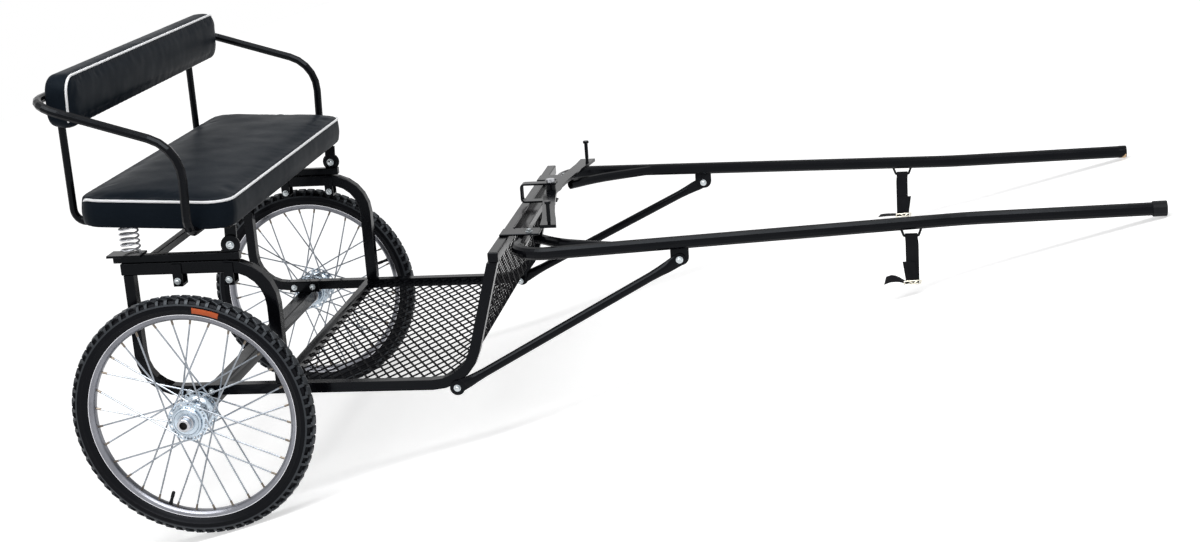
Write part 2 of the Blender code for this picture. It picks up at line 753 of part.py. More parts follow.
back = cushion("backrest_cushion", BACK_X0, BACK_X1, BACK_HALF, BACK_Z0, BACK_Z1, 0.028, True)
seat = cushion("seat_cushion", SEAT_X0, SEAT_X1, SEAT_HALF, SEAT_Z0, SEAT_Z0 + SEAT_T, 0.035, False)
board = box("seat_board", SEAT_X0 + 0.012, SEAT_X1 - 0.012, -(SEAT_HALF - 0.045), SEAT_HALF - 0.045,
            BOARD_LOW, SEAT_Z0 - GAP, 0.002)
for sign in (-1, 1):
    y = sign * UPRIGHT_Y
    low = y - UPRIGHT_R - GAP
    high = y + UPRIGHT_R + GAP
    groove = box("groove", BACK_X0 - 0.02, upright_x(BACK_Z0) + UPRIGHT_DEPTH + GAP, low, high,
                 BACK_Z0 - 0.02, UPRIGHT_TOP_Z + 0.001)
    combine(back, groove, "DIFFERENCE")
    pocket = box("pocket", BACK_X0 - 0.02, PLATE_X + PLATE_T + GAP, y - PLATE_HALF - GAP, y + PLATE_HALF + GAP,
                 PLATE_LOW - GAP, PLATE_TOP + GAP)
    combine(back, pocket, "DIFFERENCE")
    for soft in (seat, board):
        groove = box("groove", SEAT_X0 - 0.02, upright_x(UPRIGHT_Z) + UPRIGHT_FOOT + GAP, low, high,
                     SEAT_Z0 - 0.03, FOOT_LOW + 2 * UPRIGHT_R + GAP)
        combine(soft, groove, "DIFFERENCE")
        groove = box("groove", ARM_FOOT_X - ARM_R - GAP, ARM_FOOT_X + ARM_R + GAP,
                     sign * (ARM_FOOT_Y - GAP), sign * (ARM_HALF + 0.02),
                     SEAT_Z0 - 0.03, FOOT_LOW + 2 * ARM_R + GAP)
        combine(soft, groove, "DIFFERENCE")
finish(back, "vinyl", SEAT)
finish(seat, "vinyl", SEAT)
finish(board, "board", SEAT)

for side, sign in (("right", -1), ("left", 1)):
    outline = arc(HINGE_X, HINGE_Z, 0.0145, 180, 360, 8)
    outline += [Vector((HINGE_X + 0.0145, BOARD_LOW - GAP)), Vector((HINGE_X - 0.0145, BOARD_LOW - GAP))]
    lug = slab("seat_lug_" + side, outline, sign * (SEAT_RAIL_Y - GAP - LUG_T), sign * (SEAT_RAIL_Y - GAP))
    finish(lug, "black_paint", SEAT)
    y = sign * UPRIGHT_Y
    x = upright_x(UPRIGHT_Z)
    path = rounded([(UPRIGHT_TOP_X, y, UPRIGHT_TOP_Z), (x, y, UPRIGHT_Z),
                    (x + UPRIGHT_FOOT, y, UPRIGHT_Z)], (0.032,))
    finish(rod("back_upright_" + side, path, UPRIGHT_R), "black_paint", SEAT)
    finish(box("back_plate_" + side, PLATE_X, PLATE_X + PLATE_T, y - PLATE_HALF, y + PLATE_HALF,
               PLATE_LOW, PLATE_TOP, 0.001), "black_paint", SEAT)

ARM_BEHIND = (UPRIGHT_R + GAP + ARM_R) / math.cos(UPRIGHT_LEAN)
ARM_REAR = ((upright_x(ARM_CORNER_Z + ARM_RISE * ARM_X) - ARM_BEHIND)
            / (1 - ARM_RISE * math.tan(UPRIGHT_LEAN)))
ARM_REAR_Z = ARM_CORNER_Z + ARM_RISE * (ARM_X - ARM_REAR)


def arm_path():
    """Centre line of the hoop, from one foot round behind the backrest to the other."""
    half = [(ARM_FOOT_X, -ARM_FOOT_Y, ARM_FOOT_Z), (ARM_FOOT_X, -ARM_HALF, ARM_FOOT_Z),
            (ARM_X, -ARM_HALF, ARM_CORNER_Z), (ARM_REAR, -ARM_HALF, ARM_REAR_Z)]
    other = [(x, -y, z) for x, y, z in half[::-1]]
    return rounded(half + other, (ARM_FOOT_BEND, ARM_BEND, ARM_REAR_BEND, ARM_REAR_BEND,
                   ARM_BEND, ARM_FOOT_BEND))


finish(rod("arm_hoop", arm_path(), ARM_R, 10), "black_paint", SEAT)


def spring(name, y):
    """A coil standing on its pad, ending just under the tipped seat board."""
    tip = math.tan(SEAT_PITCH)
    low = RAIL_UP + 0.003 + GAP + SPRING_WIRE
    drop = (HINGE_Z - BOARD_LOW) / math.cos(SEAT_PITCH)
    high = HINGE_Z - drop + tip * (HINGE_X - SPRING_X - SPRING_R) - GAP - SPRING_WIRE
    path = []
    count = round(SPRING_TURNS * 10)
    for k in range(count + 1):
        a = 2 * math.pi * k / 10
        path.append((SPRING_X + SPRING_R * math.cos(a), y + SPRING_R * math.sin(a),
                     low + (high - low) * k / count))
    return rod(name, path, SPRING_WIRE, 4)


for side, sign in (("right", -1), ("left", 1)):
    finish(spring("seat_spring_" + side, sign * SEAT_RAIL_Y), "steel")

# Shafts
SHAFT_RISE = (SHAFT_TIP_Z - SHAFT_REAR_Z) / (SHAFT_TIP_X - SHAFT_REAR_X)


def shaft_y(x):
    """Half distance between the shafts behind their front bend."""
    t = (x - SHAFT_REAR_X) / (SHAFT_BEND_X - SHAFT_REAR_X)
    return SHAFT_REAR_Y + (SHAFT_TIP_Y - SHAFT_REAR_Y) * t


def shaft_z(x):
    return SHAFT_REAR_Z + SHAFT_RISE * (x - SHAFT_REAR_X)


STRUT_Z1 = shaft_z(STRUT_X1) - STRUT_HANG

for side, sign in (("right", -1), ("left", 1)):
    rear = SHAFT_REAR_X + 0.006
    path = [(rear, sign * (SHAFT_FOOT_Y - 0.022), SHAFT_REAR_Z), (rear, sign * shaft_y(rear), SHAFT_REAR_Z),
            (SHAFT_BEND_X, sign * SHAFT_TIP_Y, shaft_z(SHAFT_BEND_X)),
            (SHAFT_TIP_X, sign * SHAFT_TIP_Y, SHAFT_TIP_Z)]
    shaft = rod("shaft_" + side, rounded(path, (0.075, 0.55), 7.0), SHAFT_R)
    lug_y = shaft_y(STRUT_X1)
    outline = arc(STRUT_X1, STRUT_Z1, 0.013, 180, 360, 8)
    top = shaft_z(STRUT_X1) - SHAFT_R + 0.006
    outline += [Vector((STRUT_X1 + 0.016, top)), Vector((STRUT_X1 - 0.016, top))]
    lug = slab("lug", outline, sign * (lug_y - LUG_T / 2), sign * (lug_y + LUG_T / 2))
    combine(shaft, lug, "UNION")
    z = shaft_z(LOOP_X)
    y = sign * shaft_y(LOOP_X)
    path = rounded([(LOOP_X - LOOP_TOP, y, z - SHAFT_R + 0.004), (LOOP_X - LOOP_LOW, y, z - LOOP_DROP),
                    (LOOP_X + LOOP_LOW, y, z - LOOP_DROP), (LOOP_X + LOOP_TOP, y, z - SHAFT_R + 0.004)],
                   (0.003, 0.003), 45.0)
    staple = rod("staple", path, LOOP_R, 8)
    combine(shaft, staple, "UNION")
    finish(shaft, "black_paint")
    start = Vector((BRACE_X0, sign * (SHAFT_FOOT_Y - 0.012), SHAFT_REAR_Z))
    middle = Vector((BRACE_X1, sign * (SHAFT_FOOT_Y + BRACE_OUT), SHAFT_REAR_Z + 0.001))
    end = Vector((BRACE_X2, sign * shaft_y(BRACE_X2), shaft_z(BRACE_X2)))
    brace = rod("shaft_brace_" + side, rounded([start, middle, end], (0.25,), 5.0), BRACE_R)
    line = [(x, sign * shaft_y(x), shaft_z(x)) for x in (SHAFT_REAR_X + 0.01, BRACE_X2 + 0.245)]
    line = rod("clear", line, SHAFT_R + GAP)
    combine(brace, line, "DIFFERENCE")
    loose = bmesh.new()
    loose.from_mesh(brace.data)
    seen = set()
    groups = []
    for v in loose.verts:
        if v in seen:
            continue
        stack = [v]
        seen.add(v)
        group = []
        while stack:
            w = stack.pop()
            group.append(w)
            for e in w.link_edges:
                o = e.other_vert(w)
                if o not in seen:
                    seen.add(o)
                    stack.append(o)
        groups.append(group)
    groups.sort(key=len)
    for group in groups[:-1]:
        bmesh.ops.delete(loose, geom=group, context="VERTS")
    loose.to_mesh(brace.data)
    loose.free()
    finish(brace, "black_paint")
    nose = Vector((SHAFT_TIP_X, sign * SHAFT_TIP_Y, SHAFT_TIP_Z))
    if side == "right":
        along = Vector((1, 0, SHAFT_RISE)).normalized()
        cap = rod("shaft_cap_right", [nose - along * CAP_L, nose + along * (CAP_T + GAP)],
                  SHAFT_R + CAP_T + GAP, 16)
        core = rod("core", [nose - along * 2 * CAP_L, nose + along * GAP], SHAFT_R + GAP, 16)
        combine(cap, core, "DIFFERENCE")
        finish(cap, "rubber")

# Struts with flattened ends
for side, sign in (("right", -1), ("left", 1)):
    y0 = sign * (FRAME_HALF + GAP + 0.003)
    y1 = sign * (shaft_y(STRUT_X1) + LUG_T / 2 + GAP + 0.003)
    a = Vector((STRUT_X0, y0, STRUT_Z0))
    b = Vector((STRUT_X1, y1, STRUT_Z1))
    along = (b - a).normalized()
    strut = rod("strut_" + side, [a + along * 0.035, b - along * 0.035], STRUT_R)
    strut.data.transform(Matrix.Translation((0, sign * 0.0035, 0)))
    slope = math.atan2(STRUT_Z1 - STRUT_Z0, STRUT_X1 - STRUT_X0)
    for centre, way, y in ((a, 1, y0), (b, -1, y1)):
        outline = arc(centre.x, centre.z, 0.014, math.degrees(slope) + 90 * way,
                      math.degrees(slope) + 270 * way, 8)
        far = 0.048 * way
        tip = Vector((centre.x + far * math.cos(slope), centre.z + far * math.sin(slope)))
        across = Vector((-math.sin(slope), math.cos(slope))) * 0.0105
        outline += [tip - across * way, tip + across * way]
        ear = slab("ear", outline, y - 0.003, y + 0.003)
        combine(strut, ear, "UNION")
    finish(strut, "black_paint")

# Crossbar between the shaft feet, and the plates that hold them to the dash
BAR_Z1 = CLEVIS_Z0 - GAP
outline = [(BAR_X0, BAR_Z1 - BAR_H), (BAR_X1, BAR_Z1 - BAR_H), (BAR_X1, BAR_Z1), (BAR_X1 - BAR_WALL, BAR_Z1),
           (BAR_X1 - BAR_WALL, BAR_Z1 - BAR_H + BAR_WALL), (BAR_X0 + BAR_WALL, BAR_Z1 - BAR_H + BAR_WALL),
           (BAR_X0 + BAR_WALL, BAR_Z1), (BAR_X0, BAR_Z1)]
foot = SHAFT_FOOT_Y - PLATE_IN - GAP
finish(slab("shaft_crossbar", outline, -foot, foot), "black_paint")
for side, sign in (("right", -1), ("left", 1)):
    z = DASH_Z + HALF + GAP
    finish(box("shaft_plate_" + side, DASH_X - 0.010, PLATE_X1,
               sign * (SHAFT_FOOT_Y - PLATE_IN), sign * (SHAFT_FOOT_Y + PLATE_OUT),
               z, z + 0.005, 0.001), "black_paint")

# Clevis, its bolt and the singletree
r = CLEVIS_T
path = rounded([(PIVOT_X + 0.016, CLEVIS_Z0 + r / 2), (CLEVIS_X + r / 2, CLEVIS_Z0 + r / 2),
                (CLEVIS_X + r / 2, CLEVIS_Z1 - r / 2),
                 (PIVOT_X + 0.016, CLEVIS_Z1 - r / 2)], (0.008, 0.008), 30.0)
clevis = slab("clevis", band(path, r / 2), -CLEVIS_W / 2, CLEVIS_W / 2)
hole = rod("hole", [(PIVOT_X, 0, CLEVIS_Z0 - 0.01), (PIVOT_X, 0, CLEVIS_Z1 + 0.01)], PIVOT_R + GAP, 16)
combine(clevis, hole, "DIFFERENCE")
finish(clevis, "black_paint")
bolt = rod("pivot_bolt", [(PIVOT_X, 0, CLEVIS_Z0 - 0.012), (PIVOT_X, 0, CLEVIS_Z1 + 0.004)], PIVOT_R, 16)
head = rod("head", [(PIVOT_X, 0, CLEVIS_Z1 + GAP), (PIVOT_X, 0, CLEVIS_Z1 + 0.008)], 0.011, 12)
nut = rod("nut", [(PIVOT_X, 0, CLEVIS_Z0 - 0.010), (PIVOT_X, 0, CLEVIS_Z0 - GAP)], 0.010, 12)
combine(bolt, head, "UNION")
combine(bolt, nut, "UNION")
finish(bolt, "steel")


def tree_outline():
    """Plan of the singletree: straight in the middle, both arms swept forward."""
    front = []
    back = []
    count = 12
    for k in range(count + 1):
        y = -TREE_TIP_Y - 0.018 + (2 * TREE_TIP_Y + 0.036) * k / count
        sweep = min(abs(y) / TREE_TIP_Y, 1.0)
        x = PIVOT_X + (TREE_TIP_X - PIVOT_X) * sweep ** 1.25
        half = TREE_W / 2 + 0.004 * max(0.0, sweep - 0.8) * 5
        front.append(Vector((x + half, y)))
        back.append(Vector((x - half, y)))
    return back + front[::-1]


tree = plate("singletree", tree_outline(), TREE_Z - TREE_T / 2, TREE_Z + TREE_T / 2)
boss = rod("boss", [(PIVOT_X, 0, CLEVIS_Z0 + r + 0.001), (PIVOT_X, 0, CLEVIS_Z1 - r - 0.001)], 0.013, 16)
combine(tree, boss, "UNION")
hole = rod("hole", [(PIVOT_X, 0, CLEVIS_Z0 - 0.01), (PIVOT_X, 0, CLEVIS_Z1 + 0.01)], PIVOT_R + 0.0005, 16)
combine(tree, hole, "DIFFERENCE")
for sign in (-1, 1):
    y = sign * TREE_TIP_Y
    z = TREE_Z + TREE_T / 2
    pin = rod("pin", [(TREE_TIP_X, y, TREE_Z), (TREE_TIP_X, y, z + PIN_L)], PIN_R, 10)
    combine(tree, pin, "UNION")
    knob = rod("knob", [(TREE_TIP_X, y, z + PIN_L - 0.002), (TREE_TIP_X, y, z + PIN_L + 0.004)], PIN_HEAD_R, 12)
    combine(tree, knob, "UNION")
finish(tree, "black_paint", TREE)

# Tug straps, looped over the staples under the shafts
for side, sign in (("right", -1), ("left", 1)):
    z = shaft_z(LOOP_X) - LOOP_DROP
    y = sign * shaft_y(LOOP_X)
    hang = LOOP_R + GAP
    outline = [Vector((hang, -STRAP_TAIL))] + arc(0, 0, hang, 0, 180, 6) + [Vector((-hang, -STRAP_L))]
    outline += [Vector((-hang - STRAP_T, -STRAP_L))] + arc(0, 0, hang + STRAP_T, 180, 0, 8)
    outline += [Vector((hang + STRAP_T, -STRAP_TAIL))]
    strap = plate("tug_strap_" + side, outline, -STRAP_W / 2, STRAP_W / 2)
    stand = Matrix(((0, 0, 1, 0), (1, 0, 0, 0), (0, 1, 0, 0), (0, 0, 0, 1)))
    strap.data.transform(Matrix.Translation((LOOP_X, y, z)) @ stand)
    finish(strap, "webbing")

# Parking pitch: the nose goes down until a shaft tip stands on the floor
def lowest(angle):
    """Height of the lowest point of everything but the wheels at a pitch."""
    turn = Matrix.Rotation(angle, 4, "Y")
    low = 10.0
    for obj in CART.objects:
        if obj.type != "MESH" or obj.parent in HUBS.values():
            continue
        base = Matrix.Identity(4)
        node = obj
        while node is not LEVEL:
            base = node.matrix_basis @ base
            node = node.parent
        for v in obj.data.vertices:
            low = min(low, (turn @ (base @ v.co)).z)
    return low + WHEEL_R


bpy.context.view_layer.update()
soft, hard = 0.10, 0.45
for step in range(40):
    pitch = (soft + hard) / 2
    if lowest(pitch) > 0:
        soft = pitch
    else:
        hard = pitch
LEVEL.rotation_euler = (0, soft, 0)

# Origin under the middle of the parked cart
bpy.context.view_layer.update()
xs = []
for obj in CART.objects:
    if obj.type == "MESH":
        for v in obj.data.vertices:
            xs.append((obj.matrix_world @ v.co).x)
ROOT.location = (-(min(xs) + max(xs)) / 2, 0, 0)
bpy.context.view_layer.update()
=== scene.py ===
# %% [markdown]
# # A pony cart, parked on its shaft tips
# What follows dresses them: finishes for the steel, and finer forms for the
# tyres, wheels, floor, cushions and straps.

# %% Load the cart
import json
import math

import bmesh
import bpy
import numpy as np
from mathutils import Matrix, Vector, kdtree, noise

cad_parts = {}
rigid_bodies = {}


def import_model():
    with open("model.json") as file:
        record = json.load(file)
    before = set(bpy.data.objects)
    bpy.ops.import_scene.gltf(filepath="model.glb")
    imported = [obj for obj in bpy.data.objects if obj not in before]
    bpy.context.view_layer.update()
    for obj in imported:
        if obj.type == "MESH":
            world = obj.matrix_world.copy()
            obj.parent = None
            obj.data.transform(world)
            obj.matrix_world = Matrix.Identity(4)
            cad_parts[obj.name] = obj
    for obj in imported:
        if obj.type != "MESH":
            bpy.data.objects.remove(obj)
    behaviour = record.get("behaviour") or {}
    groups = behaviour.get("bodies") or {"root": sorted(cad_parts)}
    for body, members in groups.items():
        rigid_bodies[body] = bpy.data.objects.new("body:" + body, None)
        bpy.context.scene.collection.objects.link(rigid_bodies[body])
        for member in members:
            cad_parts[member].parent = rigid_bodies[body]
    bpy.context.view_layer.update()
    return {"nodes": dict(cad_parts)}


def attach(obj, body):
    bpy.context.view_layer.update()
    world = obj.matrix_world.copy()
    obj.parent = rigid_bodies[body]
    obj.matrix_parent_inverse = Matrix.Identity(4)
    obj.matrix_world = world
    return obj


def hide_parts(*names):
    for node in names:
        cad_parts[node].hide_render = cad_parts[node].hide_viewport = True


for old in list(bpy.data.objects):
    bpy.data.objects.remove(old)
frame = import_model()
NODES = frame["nodes"]

# %% [markdown]
# The cart is easiest to lay out as it is driven: level, x forward, the axle over
# x = 0. Parked, its nose drops until the shaft tips stand on the floor. One matrix
# takes any level point to the parked place, and a second one adds the seat's own tip.

# %% Level and parked
AXLE_Z = 0.305
TRACK_HALF = 0.55
PARK_PITCH = math.radians(16.197498)
PARK_SHIFT = -1.016421
SIDES = (("right", -1), ("left", 1))
HINGE, SEAT_TILT = Vector((0.115, 0, 0.707)), math.radians(3)
PARK = (Matrix.Translation((PARK_SHIFT, 0, AXLE_Z)) @ Matrix.Rotation(PARK_PITCH, 4, "Y")
        @ Matrix.Translation((0, 0, -AXLE_Z)))
TIPPED = (PARK @ Matrix.Translation(HINGE) @ Matrix.Rotation(SEAT_TILT, 4, "Y")
          @ Matrix.Translation(-HINGE))
print("shaft tip parked at", [round(c, 3) for c in PARK @ Vector((2.318, -0.313, 0.664))])

# %% [markdown]
# The camera stands at standing eye height off the right wheel, turned a little to
# the front. It is set in the level layout and parked with the cart, so that the
# cart fills the picture as if it stood level.

# %% Camera
CAMERA_AT, LENS, FILM = Vector((1.6012, -4.6368, 1.7735)), 55.80, 36
turn, rise, roll = (math.radians(angle) for angle in (8.126, 15.394, -3.952))
side_way = Vector((math.cos(turn), math.sin(turn), 0))
back_way = Vector((math.sin(turn) * math.cos(rise), -math.cos(turn) * math.cos(rise), math.sin(rise)))
up_way = back_way.cross(side_way)
right_way = side_way * math.cos(roll) + up_way * math.sin(roll)
top_way = up_way * math.cos(roll) - side_way * math.sin(roll)
stand = Matrix.Identity(4)
for column, axis in enumerate((right_way, top_way, back_way, CAMERA_AT)):
    for row in range(3):
        stand[row][column] = axis[row]
bpy.ops.object.camera_add()
camera = bpy.context.object
camera.name = "camera"
camera.data.lens, camera.data.sensor_width = LENS, FILM
camera.data.clip_end = 200
camera.matrix_world = PARK @ stand
bpy.context.scene.camera = camera
print("camera at", [round(c, 3) for c in camera.location])

# %% [markdown]
# The studio is a pale floor and an even white surround. Light Path keeps what the
# camera and the shiny metal see at plain white, while the light that reaches the
# cart stays soft and level. A long lamp overhead lights it from above, and a card
# that only shiny faces see draws the light line along each tube.

# %% Studio
scene = bpy.context.scene
scene.view_settings.view_transform = "Standard"
world = bpy.data.worlds.new("surround")
scene.world = world
world.use_nodes = True
sky = world.node_tree
back = sky.nodes["Background"]
SOFT_LIGHT, PLAIN_WHITE = 0.42, 1.0


def preset(item, **settings):
    """Sets a node's own settings and the values of its inputs."""
    for key, value in settings.items():
        if hasattr(item, key):
            setattr(item, key, value)
        else:
            item.inputs[key.replace("_", " ")].default_value = value
    return item


def add(tree, kind, links=(), **settings):
    """One node, with its settings, and links given as (input, output socket)."""
    item = preset(tree.nodes.new(kind), **settings)
    for key, source in links:
        tree.links.new(source, item.inputs[key])
    return item


def seen_rays(tree):
    """One for a ray that shows the background: straight, through glass or off a shiny face."""
    rays = add(tree, "ShaderNodeLightPath").outputs
    total = rays["Is Camera Ray"]
    for kind in ("Is Glossy Ray", "Is Transmission Ray"):
        both = add(tree, "ShaderNodeMath", [(0, total), (1, rays[kind])], operation="ADD", use_clamp=True)
        total = both.outputs[0]
    return total


level_of = add(sky, "ShaderNodeMapRange", [("Value", seen_rays(sky))], To_Min=SOFT_LIGHT, To_Max=PLAIN_WHITE)
sky.links.new(level_of.outputs["Result"], back.inputs["Strength"])
preset(back, Color=(1, 1, 1, 1))

for name, place, aim, size, power in (("overhead", (0.2, -1.5, 3.6), (0.2, 0, 0.5), (4.8, 1.1), 100),
                                      ("front", (3.4, -3.2, 2.4), (0, 0, 0.5), (1.6, 1.6), 5),
                                      ("shine_card", (0.3, -3.7, 3.9), (0.2, 0, 0.6), (5.2, 1.3), 190)):
    bpy.ops.object.light_add(type="AREA", location=place)
    lamp = bpy.context.object
    lamp.name = name
    lamp.data.shape = "RECTANGLE"
    lamp.data.size, lamp.data.size_y = size
    lamp.data.energy = power
    lamp.visible_diffuse = name != "shine_card"
    lamp.rotation_euler = (Vector(place) - Vector(aim)).to_track_quat("Z", "Y").to_euler()

bpy.ops.mesh.primitive_plane_add(size=60, location=(0, 0, -0.0005))
floor = bpy.context.object
floor.name = "studio_floor"
paint = bpy.data.materials.new("pale_floor")
floor.data.materials.append(paint)
paint.use_nodes = True
tree = paint.node_tree
shader = tree.nodes["Principled BSDF"]
preset(shader, Base_Color=(0.86, 0.86, 0.86, 1), Roughness=0.9, Emission_Color=(1, 1, 1, 1))
where = add(tree, "ShaderNodeTexCoord").outputs["Object"]
away = add(tree, "ShaderNodeVectorMath", [(0, where)], operation="LENGTH")
lift = add(tree, "ShaderNodeMapRange", [("Value", away.outputs["Value"])], From_Min=1.5, From_Max=6.0,
           To_Min=0.50, To_Max=0.70)
glow = add(tree, "ShaderNodeMath", [(0, seen_rays(tree)), (1, lift.outputs["Result"])], operation="MULTIPLY")
tree.links.new(glow.outputs[0], shader.inputs["Emission Strength"])

# %% [markdown]
# Every finish on the cart has some dirt, some change of gloss and a fine skin. The
# three are shader groups, built once: "grime" mixes two colours by a soft noise,
# "gloss" spreads the roughness, and "skin" makes the small height changes of paint,
# rubber or vinyl.

# %% Shared effects
def new_group(name, inputs, outputs):
    """An empty shader group, its typed inputs as sources, and its outputs."""
    group = bpy.data.node_groups.new(name, "ShaderNodeTree")
    for label, kind, value in inputs:
        socket = group.interface.new_socket(label, in_out="INPUT", socket_type=kind)
        if value is not None:
            socket.default_value = value
    for label, kind in outputs:
        group.interface.new_socket(label, in_out="OUTPUT", socket_type=kind)
    return group, group.nodes.new("NodeGroupInput").outputs, group.nodes.new("NodeGroupOutput").inputs


FLOAT, COLOR, VECTOR = "NodeSocketFloat", "NodeSocketColor", "NodeSocketVector"

grime, src, out = new_group("grime", [("Vector", VECTOR, None), ("Clean", COLOR, None), ("Dirt", COLOR, None),
                                      ("Size", FLOAT, 12.0), ("Amount", FLOAT, 0.3)],
                            [("Color", COLOR)])
cloud = add(grime, "ShaderNodeTexNoise", [("Vector", src["Vector"]), ("Scale", src["Size"])], Detail=7.0,
            Roughness=0.62)
patch = add(grime, "ShaderNodeMapRange", [("Value", cloud.outputs["Fac"])], From_Min=0.42, From_Max=0.78)
part_of = add(grime, "ShaderNodeMath", [(0, patch.outputs["Result"]), (1, src["Amount"])],
              operation="MULTIPLY", use_clamp=True)
blend = add(grime, "ShaderNodeMix", [("Factor", part_of.outputs[0])], data_type="RGBA")
grime.links.new(src["Clean"], blend.inputs[6])
grime.links.new(src["Dirt"], blend.inputs[7])
grime.links.new(blend.outputs[2], out["Color"])

gloss, src, out = new_group("gloss", [("Vector", VECTOR, None), ("Size", FLOAT, 9.0), ("Low", FLOAT, 0.3),
                                      ("High", FLOAT, 0.5)], [("Roughness", FLOAT)])
cloud = add(gloss, "ShaderNodeTexNoise", [("Vector", src["Vector"]), ("Scale", src["Size"])],
            Detail=5.0, Roughness=0.7)
spread = add(gloss, "ShaderNodeMapRange", [("Value", cloud.outputs["Fac"]), ("To Min", src["Low"]),
                                           ("To Max", src["High"])], From_Min=0.3, From_Max=0.7)
gloss.links.new(spread.outputs["Result"], out["Roughness"])

skin, src, out = new_group("skin", [("Vector", VECTOR, None), ("Grain", FLOAT, 500.0), ("Cells", FLOAT, 0.0),
                                    ("Waves", FLOAT, 20.0), ("Wave Height", FLOAT, 0.2)], [("Height", FLOAT)])
fine = add(skin, "ShaderNodeTexNoise", [("Vector", src["Vector"]), ("Scale", src["Grain"])], Detail=2.0)
cells = add(skin, "ShaderNodeTexVoronoi", [("Vector", src["Vector"]), ("Scale", src["Grain"])],
            feature="SMOOTH_F1")
pick_cells = add(skin, "ShaderNodeMix", [("Factor", src["Cells"]), (2, fine.outputs["Fac"]),
                                         (3, cells.outputs["Distance"])], data_type="FLOAT")
broad = add(skin, "ShaderNodeTexNoise", [("Vector", src["Vector"]), ("Scale", src["Waves"])], Detail=3.0)
tall = add(skin, "ShaderNodeMath", [(0, broad.outputs["Fac"]), (1, src["Wave Height"])], operation="MULTIPLY")
both = add(skin, "ShaderNodeMath", [(0, pick_cells.outputs[0]), (1, tall.outputs[0])], operation="ADD")
skin.links.new(both.outputs[0], out["Height"])
print("groups", [g.name for g in bpy.data.node_groups])

# %% [markdown]
# A finish is one material. The helper wires the three groups into a Principled
# shader, and each finish then differs by its colours, its gloss range and the size
# of its grain: powder coat, rubber, vinyl, alloy, zinc plate, bright steel, webbing.

# %% Finishes
FINISH = {}


def use(tree, group, vector, **values):
    """A group set into a material, fed with the object's coordinates."""
    item = add(tree, "ShaderNodeGroup", node_tree=group)
    tree.links.new(vector, item.inputs["Vector"])
    return preset(item, **values)


def finish(name, clean, dirt, amount, low, high, size=12.0, grain=500.0, cells=0.0, waves=20.0, wave=0.2,
           bump=0.1, metal=0.0, shine=0.5, tint=(1, 1, 1), depth=0.0004):
    """A material with dirt, uneven gloss and a fine skin."""
    mat = bpy.data.materials.new(name)
    mat.use_nodes = True
    tree = mat.node_tree
    shader = tree.nodes["Principled BSDF"]
    where = add(tree, "ShaderNodeTexCoord").outputs["Object"]
    dirty = use(tree, grime, where, Clean=(*clean, 1), Dirt=(*dirt, 1), Size=size, Amount=amount)
    tree.links.new(dirty.outputs["Color"], shader.inputs["Base Color"])
    uneven = use(tree, gloss, where, Size=size * 0.8, Low=low, High=high)
    tree.links.new(uneven.outputs["Roughness"], shader.inputs["Roughness"])
    rough = use(tree, skin, where, Grain=grain, Cells=cells, Waves=waves, Wave_Height=wave)
    bumps = add(tree, "ShaderNodeBump", [("Height", rough.outputs["Height"])], Strength=bump, Distance=depth)
    tree.links.new(bumps.outputs["Normal"], shader.inputs["Normal"])
    preset(shader, Metallic=metal, Specular_IOR_Level=shine, Specular_Tint=(*tint, 1))
    FINISH[name] = mat


COOL = (0.86, 0.93, 1.0)
finish("powder_coat", (0.0020, 0.0021, 0.0032), (0.009, 0.009, 0.010), 0.30, 0.12, 0.24, size=9, grain=420,
       waves=60, wave=0.4, bump=0.08, shine=0.11, tint=COOL, depth=0.0003)
finish("mesh_paint", (0.0020, 0.0021, 0.0030), (0.008, 0.008, 0.009), 0.35, 0.45, 0.62, size=14, grain=420,
       bump=0.10, shine=0.02, tint=COOL, depth=0.0003)
# One tyre rubber in two copies: the lighter one on the raised tread is painted light, the darker one on walls and
# pits is painted shade.
finish("tyre_rubber", (0.0090, 0.0105, 0.0135), (0.030, 0.032, 0.036), 0.45, 0.32, 0.50, size=16, grain=300,
       waves=40, wave=0.5, bump=0.25, shine=0.45, tint=COOL, depth=0.0005)
finish("tyre_wall", (0.0022, 0.0024, 0.0034), (0.007, 0.007, 0.008), 0.40, 0.30, 0.48, size=16, grain=300,
       waves=40, wave=0.5, bump=0.15, shine=0.10, tint=(0.86, 0.90, 1.0))
finish("cap_rubber", (0.008, 0.009, 0.011), (0.02, 0.02, 0.02), 0.3, 0.38, 0.55, grain=350, bump=0.12, shine=0.12)
finish("seat_vinyl", (0.0065, 0.0098, 0.0145), (0.016, 0.021, 0.028), 0.30, 0.34, 0.46, size=7, grain=420,
       cells=1.0, waves=16, wave=1.2, bump=0.20, shine=0.02, tint=(0.84, 0.93, 1.0), depth=0.0006)
finish("white_piping", (0.93, 0.94, 0.96), (0.62, 0.62, 0.62), 0.3, 0.38, 0.55, size=22, grain=700, bump=0.15)
finish("seat_underside", (0.010, 0.010, 0.010), (0.04, 0.036, 0.032), 0.4, 0.6, 0.8, grain=200, bump=0.3, shine=0.3)
finish("orange_patch", (0.62, 0.10, 0.012), (0.30, 0.07, 0.02), 0.35, 0.5, 0.7, size=60)
# Near-black finish for the lining inside the axle socket: painted shade.
finish("dark_hole", (0.004, 0.004, 0.005), (0.012, 0.011, 0.010), 0.4, 0.5, 0.7, size=60, shine=0.3)
finish("strap_webbing", (0.0040, 0.0042, 0.0060), (0.014, 0.014, 0.016), 0.35, 0.60, 0.80, size=30, grain=900,
       cells=1.0, bump=0.5, shine=0.10, depth=0.0008)
finish("bare_worn", (0.78, 0.56, 0.32), (0.50, 0.17, 0.04), 0.6, 0.45, 0.65, size=90, bump=0.2)
